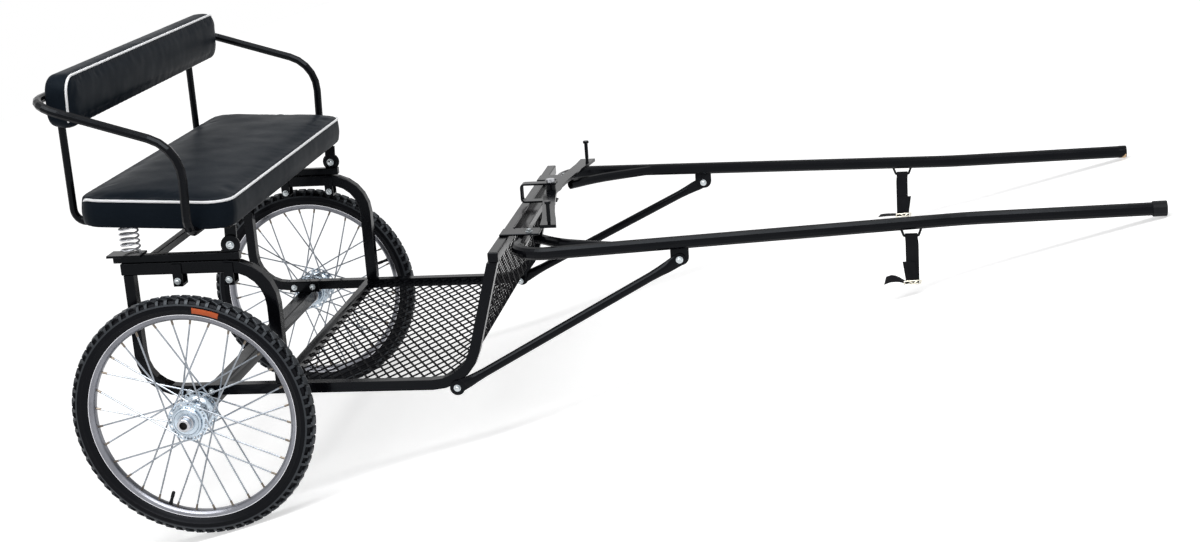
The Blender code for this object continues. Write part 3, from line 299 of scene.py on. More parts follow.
for name, clean, dirt, amount, low, high, size, grain, bump in (
        ("rim_alloy", (0.22, 0.225, 0.25), (0.10, 0.10, 0.11), 0.55, 0.20, 0.40, 11, 900, 0.06),
        # A far brighter copy of the rim alloy for the rim's edge: a painted highlight.
        ("rim_lip", (0.86, 0.86, 0.90), (0.40, 0.40, 0.42), 0.3, 0.20, 0.34, 30, 900, 0.05),
        ("bolt_zinc", (0.58, 0.62, 0.64), (0.16, 0.17, 0.18), 0.6, 0.20, 0.36, 120, 700, 0.08),
        ("zinc_plate", (0.56, 0.64, 0.72), (0.12, 0.15, 0.18), 0.60, 0.12, 0.30, 38, 600, 0.1),
        ("bright_steel", (0.52, 0.53, 0.56), (0.13, 0.13, 0.14), 0.6, 0.16, 0.34, 70, 800, 0.05),
        ("spoke_wire", (0.34, 0.37, 0.41), (0.12, 0.13, 0.14), 0.50, 0.20, 0.36, 30, 900, 0.05),
        ("buckle_plate", (0.74, 0.71, 0.62), (0.30, 0.26, 0.18), 0.35, 0.22, 0.4, 60, 900, 0.08),
        ("nipple_brass", (0.20, 0.17, 0.14), (0.06, 0.05, 0.04), 0.5, 0.26, 0.42, 90, 900, 0.05)):
    finish(name, clean, dirt, amount, low, high, size=size, grain=grain, bump=bump, metal=1.0)

SLOT_FINISH = {"black_paint": "powder_coat", "rubber": "cap_rubber", "tyre": "tyre_rubber", "vinyl": "seat_vinyl",
               "alloy": "rim_alloy", "zinc": "zinc_plate", "steel": "bright_steel", "webbing": "strap_webbing",
               "board": "seat_underside"}
for name, obj in NODES.items():
    for place in obj.material_slots:
        kind = next((key for key in SLOT_FINISH if place.material and key in place.material.name), "black_paint")
        place.material = FINISH[SLOT_FINISH[kind]]
print("finishes", len(FINISH), "nodes painted", len(NODES))

# %% [markdown]
# Real square tube has rounded corners that catch a thin line of light. The CAD
# solids keep theirs sharp, so a live weld and a small bevel round them here without
# touching the mesh. The thin plates and lugs get a smaller one.

# %% Rounded tube corners
def modified(obj, label, kind, **settings):
    """A modifier with its settings."""
    item = obj.modifiers.new(label, kind)
    for key, value in settings.items():
        setattr(item, key, value)
    return item


ROUND = {"side_frame": 0.0028, "arch": 0.0032, "floor_crossbar": 0.001, "dash_top": 0.001, "axle_tube": 0.0012,
         "axle_bracket": 0.0012, "seat_rail_": 0.0008, "rail_lug": 0.0008, "seat_lug": 0.0008, "seat_clamp": 0.0008,
         "shaft_crossbar": 0.0006, "shaft_plate": 0.0006, "clevis": 0.0008, "singletree": 0.0012,
         "back_plate": 0.0006, "shaft_cap": 0.0035}
rounded = 0
for name, obj in NODES.items():
    width = next((w for key, w in ROUND.items() if name.startswith(key)), None)
    if width is None:
        continue
    modified(obj, "weld", "WELD", merge_threshold=0.00002)
    modified(obj, "corner", "BEVEL", width=width, segments=3, limit_method="ANGLE", angle_limit=math.radians(40),
             harden_normals=True)
    rounded += 1
print("rounded", rounded, "nodes")

# %% [markdown]
# Modelling by hand needs the same few moves again and again: clear the selection,
# pick faces or edges by where they are, draw a line point by point, and set a
# finished piece down with its finish on its body.

# %% Modelling helpers
def mode(name):
    bpy.ops.object.mode_set(mode=name)


def fresh():
    """Object mode, with nothing selected."""
    if bpy.context.object and bpy.context.object.mode != "OBJECT":
        mode("OBJECT")
    bpy.ops.object.select_all(action="DESELECT")


def only(obj):
    """Object mode, with this object selected and nothing else."""
    fresh()
    obj.select_set(True)
    bpy.context.view_layer.objects.active = obj


def settled(obj):
    """Puts an object's place, turn and size into its mesh."""
    only(obj)
    bpy.ops.object.transform_apply(location=True, rotation=True, scale=True)


def pick(obj, kind, test):
    """Edit mode with the faces or edges selected that pass the test."""
    only(obj)
    mode("EDIT")
    bpy.ops.mesh.select_mode(type=kind[:-1].upper())
    bpy.ops.mesh.select_all(action="DESELECT")
    edit = bmesh.from_edit_mesh(obj.data)
    count = 0
    for item in getattr(edit, kind):
        if test(item):
            item.select_set(True)
            count += 1
    edit.select_flush_mode()
    bmesh.update_edit_mesh(obj.data)
    return count


def middle(edge):
    return (edge.verts[0].co + edge.verts[1].co) / 2


def way(edge):
    return (edge.verts[1].co - edge.verts[0].co).normalized()


def opened(obj):
    """Edit mode with the whole mesh selected."""
    only(obj)
    mode("EDIT")
    bpy.ops.mesh.select_all(action="SELECT")


def closed(merge=False):
    """Merges points that meet, turns the faces outwards and leaves edit mode."""
    bpy.ops.mesh.select_all(action="SELECT")
    if merge:
        bpy.ops.mesh.remove_doubles(threshold=0.00001)
    bpy.ops.mesh.normals_make_consistent(inside=False)
    mode("OBJECT")


def bevelled(obj, test, offset, segments):
    """Rounds the edges that pass the test."""
    pick(obj, "edges", test)
    bpy.ops.mesh.bevel(offset=offset, segments=segments)
    mode("OBJECT")


def sliced(spot, normal, clear=False):
    """Cuts the whole open mesh with a plane."""
    bpy.ops.mesh.select_all(action="SELECT")
    bpy.ops.mesh.bisect(plane_co=spot, plane_no=normal, clear_outer=clear)


def apply_all(obj):
    """Applies every modifier in order."""
    only(obj)
    for item in list(obj.modifiers):
        bpy.ops.object.modifier_apply(modifier=item.name)


def gauged(obj, thickness):
    """Gives a sheet its thickness, half to each side."""
    modified(obj, "gauge", "SOLIDIFY", thickness=thickness, offset=0)
    apply_all(obj)


def drawn(points):
    """A line drawn point by point: one vertex, extruded to each next place."""
    fresh()
    bpy.ops.mesh.primitive_plane_add(size=0.001, location=(0, 0, 0))
    obj = bpy.context.object
    mode("EDIT")
    bpy.ops.mesh.select_mode(type="VERT")
    bpy.ops.mesh.select_all(action="SELECT")
    bpy.ops.mesh.merge(type="CENTER")
    bpy.ops.transform.translate(value=points[0])
    for a, b in zip(points, points[1:]):
        step = Vector(b) - Vector(a)
        bpy.ops.mesh.extrude_region_move(TRANSFORM_OT_translate={"value": step})
    mode("OBJECT")
    return obj


def mirrored(half):
    """The other half of a section, in running order."""
    return [(-across, out) for across, out in half[::-1]]


def spun(section, y, steps, sign=1, close=True, angle=2 * math.pi):
    """A section of (across, out from the axle) drawn at one y and spun round the axle."""
    obj = drawn([(0, y + sign * across, AXLE_Z + out) for across, out in section])
    opened(obj)
    if close:
        bpy.ops.mesh.edge_face_add()
        bpy.ops.mesh.delete(type="ONLY_FACE")
        bpy.ops.mesh.select_all(action="SELECT")
    bpy.ops.mesh.spin(steps=steps, angle=angle, center=(0, y, AXLE_Z), axis=(0, 1, 0))
    closed(merge=True)
    return obj


def turned(profile, steps):
    """A profile of (radius, height) turned once round an upright axis, as on a lathe."""
    obj = drawn([(radius, 0, height) for radius, height in profile])
    opened(obj)
    bpy.ops.mesh.spin(steps=steps, angle=2 * math.pi, center=(0, 0, 0), axis=(0, 0, 1))
    closed(merge=True)
    return obj


def cylinder(sides, radius, depth, spot=(0, 0, 0)):
    fresh()
    bpy.ops.mesh.primitive_cylinder_add(vertices=sides, radius=radius, depth=depth, location=spot)
    return bpy.context.object


def rod_between(a, b, radius, sides, extra=0.0):
    """A round rod from one point to another, a little longer if wanted."""
    rod = cylinder(sides, radius, (b - a).length + extra, (a + b) / 2)
    rod.rotation_euler = (b - a).to_track_quat("Z", "Y").to_euler()
    return rod


def join(pieces):
    fresh()
    for piece in pieces:
        piece.select_set(True)
    bpy.context.view_layer.objects.active = pieces[0]
    bpy.ops.object.join()
    return bpy.context.object


def twin(obj, matrix):
    """A copy with its own mesh, moved by a matrix."""
    copy = obj.copy()
    copy.data = obj.data.copy()
    scene.collection.objects.link(copy)
    copy.data.transform(matrix)
    return copy


def set_down(obj, name, finish_name, body="cart", at=PARK, angle=35):
    """Applies the place, paints, shades and lets the piece ride on its body."""
    settled(obj)
    obj.data.transform(at)
    obj.name = obj.data.name = name
    obj.data.materials.clear()
    obj.data.materials.append(FINISH[finish_name])
    bpy.ops.object.shade_smooth_by_angle(angle=math.radians(angle))
    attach(obj, body)
    print(name, len(obj.data.polygons), "faces on", body)
    return obj


def repaint(obj, finish_name, faces):
    """A second finish on some faces of a finished piece."""
    obj.data.materials.append(FINISH[finish_name])
    for index in faces:
        obj.data.polygons[index].material_index = 1


# %% [markdown]
# The floor and dash are one sheet of expanded steel: slits pulled open into
# diamonds, long across the cart. A grid turned by 45 degrees and stretched gives the
# diamonds, an inset leaves the strands, and each point of the flat sheet is then
# laid along the floor's line, round the bend and up the dash.

# %% Expanded floor
MESH_LONG, MESH_SHORT, STRAND, SHEET_THICK = 0.0555, 0.0286, 0.0042, 0.0028
FLOOR_FRONT, RAIL_Z, BEND_R, SHEET_HALF = 0.2077, 0.3427, 0.115, 0.4477
DASH_LEAN, DASH_TOP, DASH_TOP_X, BEND_STEPS = 0.2785, 0.6430, 0.7505, 24


def floor_line():
    """Level points along the floor, round the bend and up the dash."""
    corner = Vector((DASH_TOP_X - DASH_LEAN * (DASH_TOP - RAIL_Z), 0, RAIL_Z))
    top = corner + Vector((DASH_LEAN, 0, 1)) * (DASH_TOP - 0.0005 - RAIL_Z)
    down, up = Vector((-1, 0, 0)), (top - corner).normalized()
    bend = math.pi - down.angle(up)
    reach = BEND_R * math.tan(bend / 2)
    heart = corner + (down + up).normalized() * (BEND_R / math.cos(bend / 2))
    first = corner + down * reach - heart
    points = [Vector((FLOOR_FRONT, 0, RAIL_Z))]
    for k in range(BEND_STEPS + 1):
        a = bend * k / BEND_STEPS
        points.append(heart + first * math.cos(a) - down * BEND_R * math.sin(a))
    return points + [top]


line = floor_line()
run = sum((b - a).length for a, b in zip(line, line[1:]))
GRID = 52
fresh()
bpy.ops.mesh.primitive_grid_add(x_subdivisions=GRID, y_subdivisions=GRID, size=GRID / math.sqrt(2))
sheet = bpy.context.object
sheet.data.transform(Matrix.Diagonal((MESH_SHORT, MESH_LONG, 1, 1)) @ Matrix.Rotation(math.radians(45), 4, "Z"))
sheet.data.transform(Matrix.Translation((run / 2 + 0.006, 0.011, 0)))


def far_off(face):
    """True for a diamond well outside the sheet."""
    c = face.calc_center_median()
    return not (-0.06 < c.x < run + 0.06 and abs(c.y) < SHEET_HALF + 0.08)


pick(sheet, "faces", far_off)
bpy.ops.mesh.delete(type="FACE")
bpy.ops.mesh.select_all(action="SELECT")
bpy.ops.mesh.inset(thickness=STRAND / 2, use_individual=True, use_even_offset=True)
bpy.ops.mesh.delete(type="FACE")
for spot, normal in (((0, 0, 0), (-1, 0, 0)), ((run, 0, 0), (1, 0, 0)),
                     ((0, -SHEET_HALF, 0), (0, -1, 0)), ((0, SHEET_HALF, 0), (0, 1, 0))):
    sliced(spot, normal, clear=True)
for k in range(1, 9):  # cuts across the strands, so that they follow the bend
    sliced((0.22 + 0.02 * k, 0, 0), (1, 0, 0))
mode("OBJECT")
print("flat sheet", round(run, 3), "m long,", len(sheet.data.polygons), "strand faces")

# %% Fold the sheet up into the dash
lengths = [0.0]
for a, b in zip(line, line[1:]):
    lengths.append(lengths[-1] + (b - a).length)
for v in sheet.data.vertices:
    s = min(max(v.co.x, 0.0), run)
    k = max(i for i in range(len(line) - 1) if lengths[i] <= s + 1e-9)
    spot = line[k].lerp(line[k + 1], (s - lengths[k]) / (lengths[k + 1] - lengths[k]))
    v.co = (spot.x, v.co.y, spot.z)
gauged(sheet, SHEET_THICK)
set_down(sheet, "floor_lattice", "mesh_paint", angle=30)
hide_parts("floor_mesh")

# %% [markdown]
# The tyres are knobbly cycle tyres. A round casing carries a raised band on each
# shoulder with a wide pit and a narrow one by turns, sunk by an inset with a depth,
# and two rows of slanting blocks stand on the crown. Each block is modelled once and
# arrayed round the axle with a turned empty. The raised tread wears a lighter copy of
# the rubber as painted light, and the walls and pits a darker copy as painted shade.

# %% Tyres
CASE_R, CASE_MID, PITCHES, STEPS = 0.0226, 0.2789, 36, 7  # STEPS: spun steps in one pitch of the tread


def about_axle(y, angle):
    """A turn about the axle at one wheel."""
    heart = Matrix.Translation((0, y, AXLE_Z))
    return heart @ Matrix.Rotation(angle, 4, "Y") @ heart.inverted()


def arrayed(obj, y, count):
    """Repeats a piece round the axle with an array that an empty turns."""
    centre = (0, y, AXLE_Z)
    settled(obj)
    obj.data.transform(Matrix.Translation(-Vector(centre)))
    obj.location = centre
    bpy.ops.object.empty_add(location=centre, rotation=(0, 2 * math.pi / count, 0))
    turner = bpy.context.object
    modified(obj, "ring", "ARRAY", use_relative_offset=False, use_object_offset=True, offset_object=turner,
             count=count)
    apply_all(obj)
    bpy.data.objects.remove(turner)
    settled(obj)
    return obj


def block(y, angle, slant, size, phase, count):
    """One tread block, standing on the casing at an angle from the crown, then the whole row."""
    fresh()
    bpy.ops.mesh.primitive_cube_add(size=1)
    obj = bpy.context.object
    obj.data.transform(Matrix.Diagonal((*size, 1)))
    pick(obj, "faces", lambda f: f.normal.z > 0.9)
    bpy.ops.transform.resize(value=(0.84, 0.84, 1))
    bevelled(obj, lambda e: middle(e).z > size[2] * 0.4, 0.0008, 1)
    obj.data.transform(Matrix.Rotation(slant, 4, "Z"))
    obj.data.transform(Matrix.Translation((0, y, AXLE_Z + CASE_MID)) @ Matrix.Rotation(-angle, 4, "X")
                       @ Matrix.Translation((0, 0, CASE_R + 0.0002)))
    obj.data.transform(about_axle(y, phase))
    return arrayed(obj, y, count)


def casing(y):
    """The spun casing: smooth walls with a ring line, a raised band on each shoulder, pits in the band."""
    half = [(0, -0.0018), (16, -0.0017), (29, -0.0014), (33, 0.0016), (44, 0.0017), (55, 0.0017), (66, 0.0016),
            (76, 0.0014), (79, 0), (90, 0), (99, 0), (103, 0.0009), (107, 0), (119, 0), (132, 0)]
    section = [(-0.0112, 0.2560)]
    for degrees, up in mirrored(half[1:]) + half:
        a = math.radians(degrees)
        section.append(((CASE_R + up) * math.sin(a), CASE_MID + (CASE_R + up) * math.cos(a)))
    obj = spun(section + [(0.0112, 0.2560)], y, STEPS * PITCHES)

    def in_pit(face):
        c = face.calc_center_median()
        a = math.degrees(math.atan2(c.y - y, math.hypot(c.x, c.z - AXLE_Z) - CASE_MID))
        step = math.atan2(c.x, c.z - AXLE_Z) / (2 * math.pi) * STEPS * PITCHES + (0 if a > 0 else 3.0)
        return 34 < abs(a) < 66 and math.floor(step) % STEPS in (0, 1, 2, 4, 5)

    print("pit faces", pick(obj, "faces", in_pit))
    bpy.ops.mesh.inset(thickness=0.0020, depth=-0.0046)
    mode("OBJECT")
    return obj


for side, sign in SIDES:
    y, step = sign * TRACK_HALF, 2 * math.pi / PITCHES
    whole = join([casing(y)] + [block(y, lean * math.radians(17), lean * math.radians(24), (0.0226, 0.0128, 0.0054),
                                      step * (0.1 + 0.25 * lean), 2 * PITCHES) for lean in (1, -1)])
    # The walls and the pit floors get the darker copy of the rubber: painted shade.
    wall = []
    for face in whole.data.polygons:
        out = math.hypot(face.center.x, face.center.z - AXLE_Z) - CASE_MID
        across = face.center.y - y
        if abs(math.degrees(math.atan2(across, out))) > 77 or math.hypot(across, out) < CASE_R - 0.0004:
            wall.append(face.index)
    set_down(whole, "tyre_tread_" + side, "tyre_rubber", "wheel_" + side)
    repaint(whole, "tyre_wall", wall)
    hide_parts("tyre_" + side)

# %% [markdown]
# The right tyre carries a plain orange patch on its outer wall. Each rim has a black
# rubber valve stem with a stepped cap, pointing at the hub.

# %% Patch and valves
reach = CASE_R + 0.0017
wall = []
for k in range(6):
    a = math.radians(-84 - 34 * k / 5)
    wall.append((reach * math.sin(a), CASE_MID + reach * math.cos(a)))
label = spun(wall, -TRACK_HALF, 12, close=False, angle=math.radians(13.6))
label.data.transform(about_axle(-TRACK_HALF, math.radians(21.6)))
gauged(label, 0.0006)
set_down(label, "tyre_patch", "orange_patch", "wheel_right", angle=40)

for (side, sign), degrees in zip(SIDES, (-111, 19.5)):
    stem = turned([(0, 0.2475), (0.0056, 0.2475), (0.0050, 0.2400), (0.0040, 0.2340), (0.0040, 0.2270),
                   (0.0046, 0.2265), (0.0046, 0.2130), (0.0030, 0.2105), (0, 0.2105)], 14)
    stem.data.transform(Matrix.Translation((0, sign * TRACK_HALF, AXLE_Z))
                        @ Matrix.Rotation(math.radians(90 - degrees), 4, "Y"))
    set_down(stem, "valve_" + side, "cap_rubber", "wheel_" + side, angle=40)

# %% [markdown]
# The rim is a box-section alloy hoop with a deep bed for the tyre. Its section is
# drawn point by point and spun, and a lip in a far brighter copy of the alloy is spun along each edge: a painted
# highlight.

# %% Rims
w, RIM_STEPS = 0.0138, 144  # w: half the rim's width
bed = [(0.006, 0.2545), (w - 0.0022, 0.2560), (w - 0.0022, 0.2598), (w - 0.0016, 0.2607), (w - 0.0006, 0.2607),
       (w, 0.2600)]
under = [(w, 0.2512), (w - 0.0012, 0.2494), (0.0085, 0.2455), (0.0055, 0.2447)]
HOOP = mirrored(bed) + bed + under + mirrored(under)
LIP = [(w + 0.0001, 0.2588), (w + 0.0003, 0.2606), (w - 0.0008, 0.2611), (w - 0.0024, 0.2610), (w - 0.0024, 0.2596)]
for side, sign in SIDES:
    y = sign * TRACK_HALF
    hoop = spun(HOOP, y, RIM_STEPS)
    set_down(hoop, "rim_hoop_" + side, "rim_alloy", "wheel_" + side, angle=30)
    # The lip rings wear the bright copy of the alloy: a painted highlight along each edge of the rim.
    lips = [spun(LIP, y, RIM_STEPS, sign=edge) for edge in (-1, 1)]
    set_down(join(lips), "rim_lip_" + side, "rim_lip", "wheel_" + side, angle=40)
    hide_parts("rim_" + side)

# %% [markdown]
# Each hub is a plated barrel with two wide flanges and a bearing cap on each face.
# Thirty-two wires run from the flanges to the rim, crossing on the way, each with a
# bent head at the flange and a nipple at the rim.

# %% Hubs
HOLE_R, FLANGE_Y, NIPPLE_R, CROSS, SPOKES = 0.045, 0.038, 0.2462, math.radians(67.5), 32
HALF_GAP = math.radians(5.625)  # half the angle between two spokes


def hub_shell(y):
    """The barrel with its flanges, then small holes cut between the spokes."""
    half = [(0.0, 0.0235), (0.0150, 0.0235), (0.0165, 0.0250), (0.0240, 0.0262), (0.0310, 0.0300), (0.0350, 0.0360),
            (0.0362, 0.0385), (0.0362, 0.0490), (0.0368, 0.0500), (0.0392, 0.0500), (0.0398, 0.0490),
            (0.0398, 0.0392), (0.0408, 0.0374), (0.0470, 0.0370), (0.0500, 0.0361), (0.0517, 0.0341),
            (0.0514, 0.0318), (0.0498, 0.0302), (0.0492, 0.0240), (0.0500, 0.0216), (0.0520, 0.0206),
            (0.0520, 0.0186)]
    shell = spun(mirrored(half) + half[1:], y, 72)
    drills = []
    for flange in (-1, 1):
        drill = cylinder(12, 0.0036, 0.008, (0, y + flange * FLANGE_Y, AXLE_Z + 0.0442))
        drill.rotation_euler = (math.pi / 2, 0, 0)
        settled(drill)
        drill.data.transform(about_axle(y, -HALF_GAP * flange))
        drills.append(arrayed(drill, y, SPOKES // 2))
    drill = join(drills)
    modified(shell, "holes", "BOOLEAN", operation="DIFFERENCE", solver="EXACT", object=drill)
    apply_all(shell)
    bpy.data.objects.remove(drill)
    return shell


def spoke_set(y, flange, lead):
    """Eight spokes of one flange that lead the same way, from one modelled spoke, and their nipples."""
    hole = HALF_GAP * (2 + flange + (4 if lead > 0 else 0))
    end = hole + CROSS * lead
    y0 = y + flange * FLANGE_Y

    def at_hole(out):
        return Vector((HOLE_R * math.cos(hole), y0 + lead * out, AXLE_Z + HOLE_R * math.sin(hole)))

    start, tip = at_hole(0.0031), Vector((NIPPLE_R * math.cos(end), y, AXLE_Z + NIPPLE_R * math.sin(end)))
    wires = [rod_between(start, tip, 0.0021, 8), rod_between(at_hole(-0.0032), start, 0.0016, 8),
             rod_between(at_hole(-0.0036), at_hole(-0.0021), 0.0023, 10)]
    nipple = rod_between(tip - (tip - start).normalized() * 0.0140, tip, 0.0027, 8)
    pick(nipple, "faces", lambda f: abs(f.normal.z) > 0.9)
    bpy.ops.mesh.inset(thickness=0.0006)
    return arrayed(join(wires), y, SPOKES // 4), arrayed(nipple, y, SPOKES // 4)


for side, sign in SIDES:
    y = sign * TRACK_HALF
    shell = hub_shell(y)
    set_down(shell, "hub_shell_" + side, "zinc_plate", "wheel_" + side, angle=32)
    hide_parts("hub_" + side)
    sets = [spoke_set(y, flange, lead) for flange in (-1, 1) for lead in (-1, 1)]
    set_down(join([wires for wires, nipples in sets]), "spokes_" + side, "spoke_wire", "wheel_" + side)
    set_down(join([nipples for wires, nipples in sets]), "nipples_" + side, "nipple_brass", "wheel_" + side)

# %% [markdown]
# A stub axle runs through each hub. Its outer end is a plain round nut with a socket
# in it, standing on a washer. A near-black sheet lining the socket is painted shade.

# %% Stub axles
AXLE = [(0.4803, 0), (0.4803, 0.0272), (0.4809, 0.0280), (0.4846, 0.0280), (0.4852, 0.0274), (0.4852, 0.0160),
        (0.4970, 0.0160), (0.4970, 0.0095), (0.6028, 0.0095), (0.6028, 0.0178), (0.6034, 0.0185), (0.6054, 0.0185),
        (0.6060, 0.0178), (0.6060, 0.0160), (0.6222, 0.0158), (0.6236, 0.0144), (0.6236, 0.0100), (0.6150, 0.0096),
        (0.6150, 0)]
for side, sign in SIDES:
    axle = spun(AXLE, 0, 40, sign, close=False)
    set_down(axle, "axle_end_" + side, "bright_steel", angle=32)
    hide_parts("stub_axle_" + side)
    # A thin near-black lining in the socket: painted shade.
    socket = spun([(0.6233, 0.0097), (0.6154, 0.0093), (0.6154, 0.0)], 0, 24, sign, close=False)
    gauged(socket, 0.0003)
    set_down(socket, "axle_socket_" + side, "dark_hole", angle=32)

# %% [markdown]
# The seat and backrest are foam blocks in black grained vinyl with a white welt.
# A plain block with rounded corners gives the seam line first. The block is then
# remeshed and blown up by a short cloth simulation, held back near the seams, and
# the welt is a tube along the seam.

# %% Cushion helpers
SIM_FRAMES = 20


def soft_block(size, middle_at, corner, axis):
    """A block whose corners are rounded as seen square to its face."""
    fresh()
    bpy.ops.mesh.primitive_cube_add(size=1)
    obj = bpy.context.object
    obj.data.transform(Matrix.Translation(middle_at) @ Matrix.Diagonal((*size, 1)))
    bevelled(obj, lambda e: abs(way(e)[axis]) > 0.9, corner, 6)
    return obj


def seam_of(obj, test):
    """Points a centimetre apart along the picked edges."""
    points = []
    for edge in obj.data.edges:
        ends = [obj.data.vertices[k] for k in edge.vertices]
        if all(test(v.co) for v in ends):
            a, b = ends[0].co, ends[1].co
            count = max(1, round((b - a).length / 0.01))
            points += [a.lerp(b, k / count) for k in range(count)]
    return points


def thickened(obj, radius, rings, caps=False):
    """A drawn line given a round thickness as a curve."""
    only(obj)
    bpy.ops.object.convert(target="CURVE")
    curve = bpy.context.object.data
    curve.bevel_depth, curve.bevel_resolution, curve.use_fill_caps = radius, rings, caps
    bpy.ops.object.convert(target="MESH")
    return bpy.context.object


def welt(obj, test, radius, grow):
    """A round welt along the picked edges, sunk a little into them."""
    pick(obj, "edges", lambda e: all(test(v.co) for v in e.verts))
    bpy.ops.mesh.duplicate()
    bpy.ops.mesh.separate(type="SELECTED")
    mode("OBJECT")
    pipe = next(o for o in bpy.context.selected_objects if o is not obj)
    pipe.data.transform(grow)
    return thickened(pipe, radius, 3)


def tucked(obj, shift, near):
    """Slips the welt under the crown on the sides where the panel bulges over it."""
    for v in obj.data.vertices:
        share = min(max(near(v.co), 0.0), 1.0)
        v.co = v.co + Vector(shift) * (share * share * (3 - 2 * share))


def puffed(obj, seam, cap, reach, flat, voxel=0.0075):
    """Remeshes a block and blows it up, less near its seams and not where it rests."""
    only(obj)
    obj.data.remesh_voxel_size = voxel
    bpy.ops.object.voxel_remesh()
    start = np.array([v.co for v in obj.data.vertices])
    normals = np.array([v.normal for v in obj.data.vertices])
    moved = normals * cap
    cloth = modified(obj, "air", "CLOTH")
    rules = cloth.settings
    rules.use_pressure, rules.uniform_pressure_force = True, 4
    rules.effector_weights.gravity = 0
    rules.tension_stiffness = rules.compression_stiffness = 8
    for step in range(1, SIM_FRAMES + 1):
        scene.frame_set(step)
    blown = obj.evaluated_get(bpy.context.evaluated_depsgraph_get()).data
    moved = np.array([v.co for v in blown.vertices]) - start
    obj.modifiers.remove(cloth)
    scene.frame_set(1)
    tree = kdtree.KDTree(len(seam))
    for k, point in enumerate(seam):
        tree.insert(point, k)
    tree.balance()
    for k, v in enumerate(obj.data.vertices):
        away = max(tree.find(v.co)[2] - 0.004, 0.0)
        limit = cap * away / (away + reach) * flat(v.co)
        move, normal = Vector(moved[k]), Vector(normals[k])
        if move.dot(normal) < limit * 0.6:
            move = normal * limit * 0.8
        elif move.length > limit:
            move = move.normalized() * limit
        pucker = noise.noise(v.co * 38.0) * 0.0016 * math.exp(-away / 0.03) * min(away / 0.01, 1.0)
        pucker += noise.noise(v.co * 14.0 + Vector((3, 1, 2))) * 0.0016 * min(away / 0.05, 1.0)
        v.co = v.co + move + normal * pucker * flat(v.co)
    modified(obj, "finer", "SUBSURF", levels=1, render_levels=1)
    apply_all(obj)
    return obj


def cushion(low, top, trim, shift, corner, axis, radius, sink):
    """A trimmed block, the seam points round its face, and the welt on that seam."""
    obj = soft_block(top - low - Vector(trim), (low + top) / 2 - Vector(shift), corner, axis)
    face = top[axis] - shift[axis] - trim[axis] / 2

    def on_seam(p):
        return abs(p[axis] - face) < 1e-4

    seam = seam_of(obj, on_seam)
    pipe = welt(obj, on_seam, radius, Matrix.Translation(sink))
    bevelled(obj, lambda e: all(on_seam(v.co) for v in e.verts), 0.004, 2)
    return obj, seam, pipe


# %% [markdown]
# The seat cushion rests flat on its board and swells most in the middle. Its welt
# slips under the crown at the rear and at the left, where the panel hangs over it.

# %% Seat cushion
SEAT_LOW, SEAT_TOP = Vector((-0.240, -0.535, 0.761)), Vector((0.138, 0.535, 0.833))
block_obj, seam, seat_welt = cushion(SEAT_LOW, SEAT_TOP, (0.004, 0.004, 0.003), (0, 0, 0.0015), 0.062, 2,
                                     0.0033, (0, 0, -0.0022))


def seat_swell(p):
    """Nothing where the seat rests, half up its wall, all of it on top."""
    if p.z < SEAT_LOW.z + 0.004:
        return 0.0
    return 0.5 * min((p.z - SEAT_LOW.z) / 0.03, 1.0) + 0.5 * max(1 - (SEAT_TOP.z - p.z) / 0.008, 0.0)


seat = puffed(block_obj, seam, 0.018, 0.022, seat_swell)
set_down(seat, "seat_pad", "seat_vinyl", at=TIPPED, angle=60)
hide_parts("seat_cushion")
tucked(seat_welt, (0.003, 0, -0.013), lambda p: (SEAT_LOW.x + 0.030 - p.x) / 0.030)
tucked(seat_welt, (0, -0.002, -0.010), lambda p: (p.y - SEAT_TOP.y + 0.030) / 0.030)
set_down(seat_welt, "seat_welt", "white_piping", at=TIPPED, angle=60)

# %% [markdown]
# The backrest is the same kind of cushion stood on edge. Its rear is flat against the
# plates and uprights, so it swells only from there forward, and its rear edge is eased.

# %% Backrest
BACK_LOW, BACK_TOP = Vector((-0.288, -0.540, 0.999)), Vector((-0.2265, 0.540, 1.124))
block_obj, seam, back_welt = cushion(BACK_LOW, BACK_TOP, (0.003, 0.004, 0.004), (0.0005, 0, 0), 0.038, 0,
                                     0.0031, (-0.002, 0, 0))
bevelled(block_obj, lambda e: all(v.co.x < BACK_LOW.x + 0.004 for v in e.verts), 0.013, 4)
rest = puffed(block_obj, seam, 0.014, 0.016,
              lambda p: min(max((p.x - BACK_LOW.x - 0.003) / 0.045, 0.0), 1.0), voxel=0.006)
set_down(rest, "backrest_pad", "seat_vinyl", at=TIPPED, angle=60)
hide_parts("backrest_cushion")
tucked(back_welt, (-0.013, 0, 0.003), lambda p: (BACK_LOW.z + 0.026 - p.z) / 0.026)
tucked(back_welt, (-0.012, -0.002, 0), lambda p: (p.y - BACK_TOP.y + 0.026) / 0.026)
set_down(back_welt, "backrest_welt", "white_piping", at=TIPPED, angle=60)

# %% [markdown]
# The cart is held together by plated bolts with round washers. One bolt is modelled
# standing up, with a domed head, and copies are turned to each joint.

# %% Bolts
HINGE_AT, LOW_BOLT, HIGH_BOLT = (HINGE.x, HINGE.z), (0.642, 0.336), (1.189, 0.619)
# The shafts start at SHAFT_X, SHAFT_OUT from the middle, and come in by SHAFT_IN over SHAFT_BEND.
SHAFT_X, SHAFT_OUT, SHAFT_IN, SHAFT_BEND = 0.790, 0.452, 0.139, 1.070


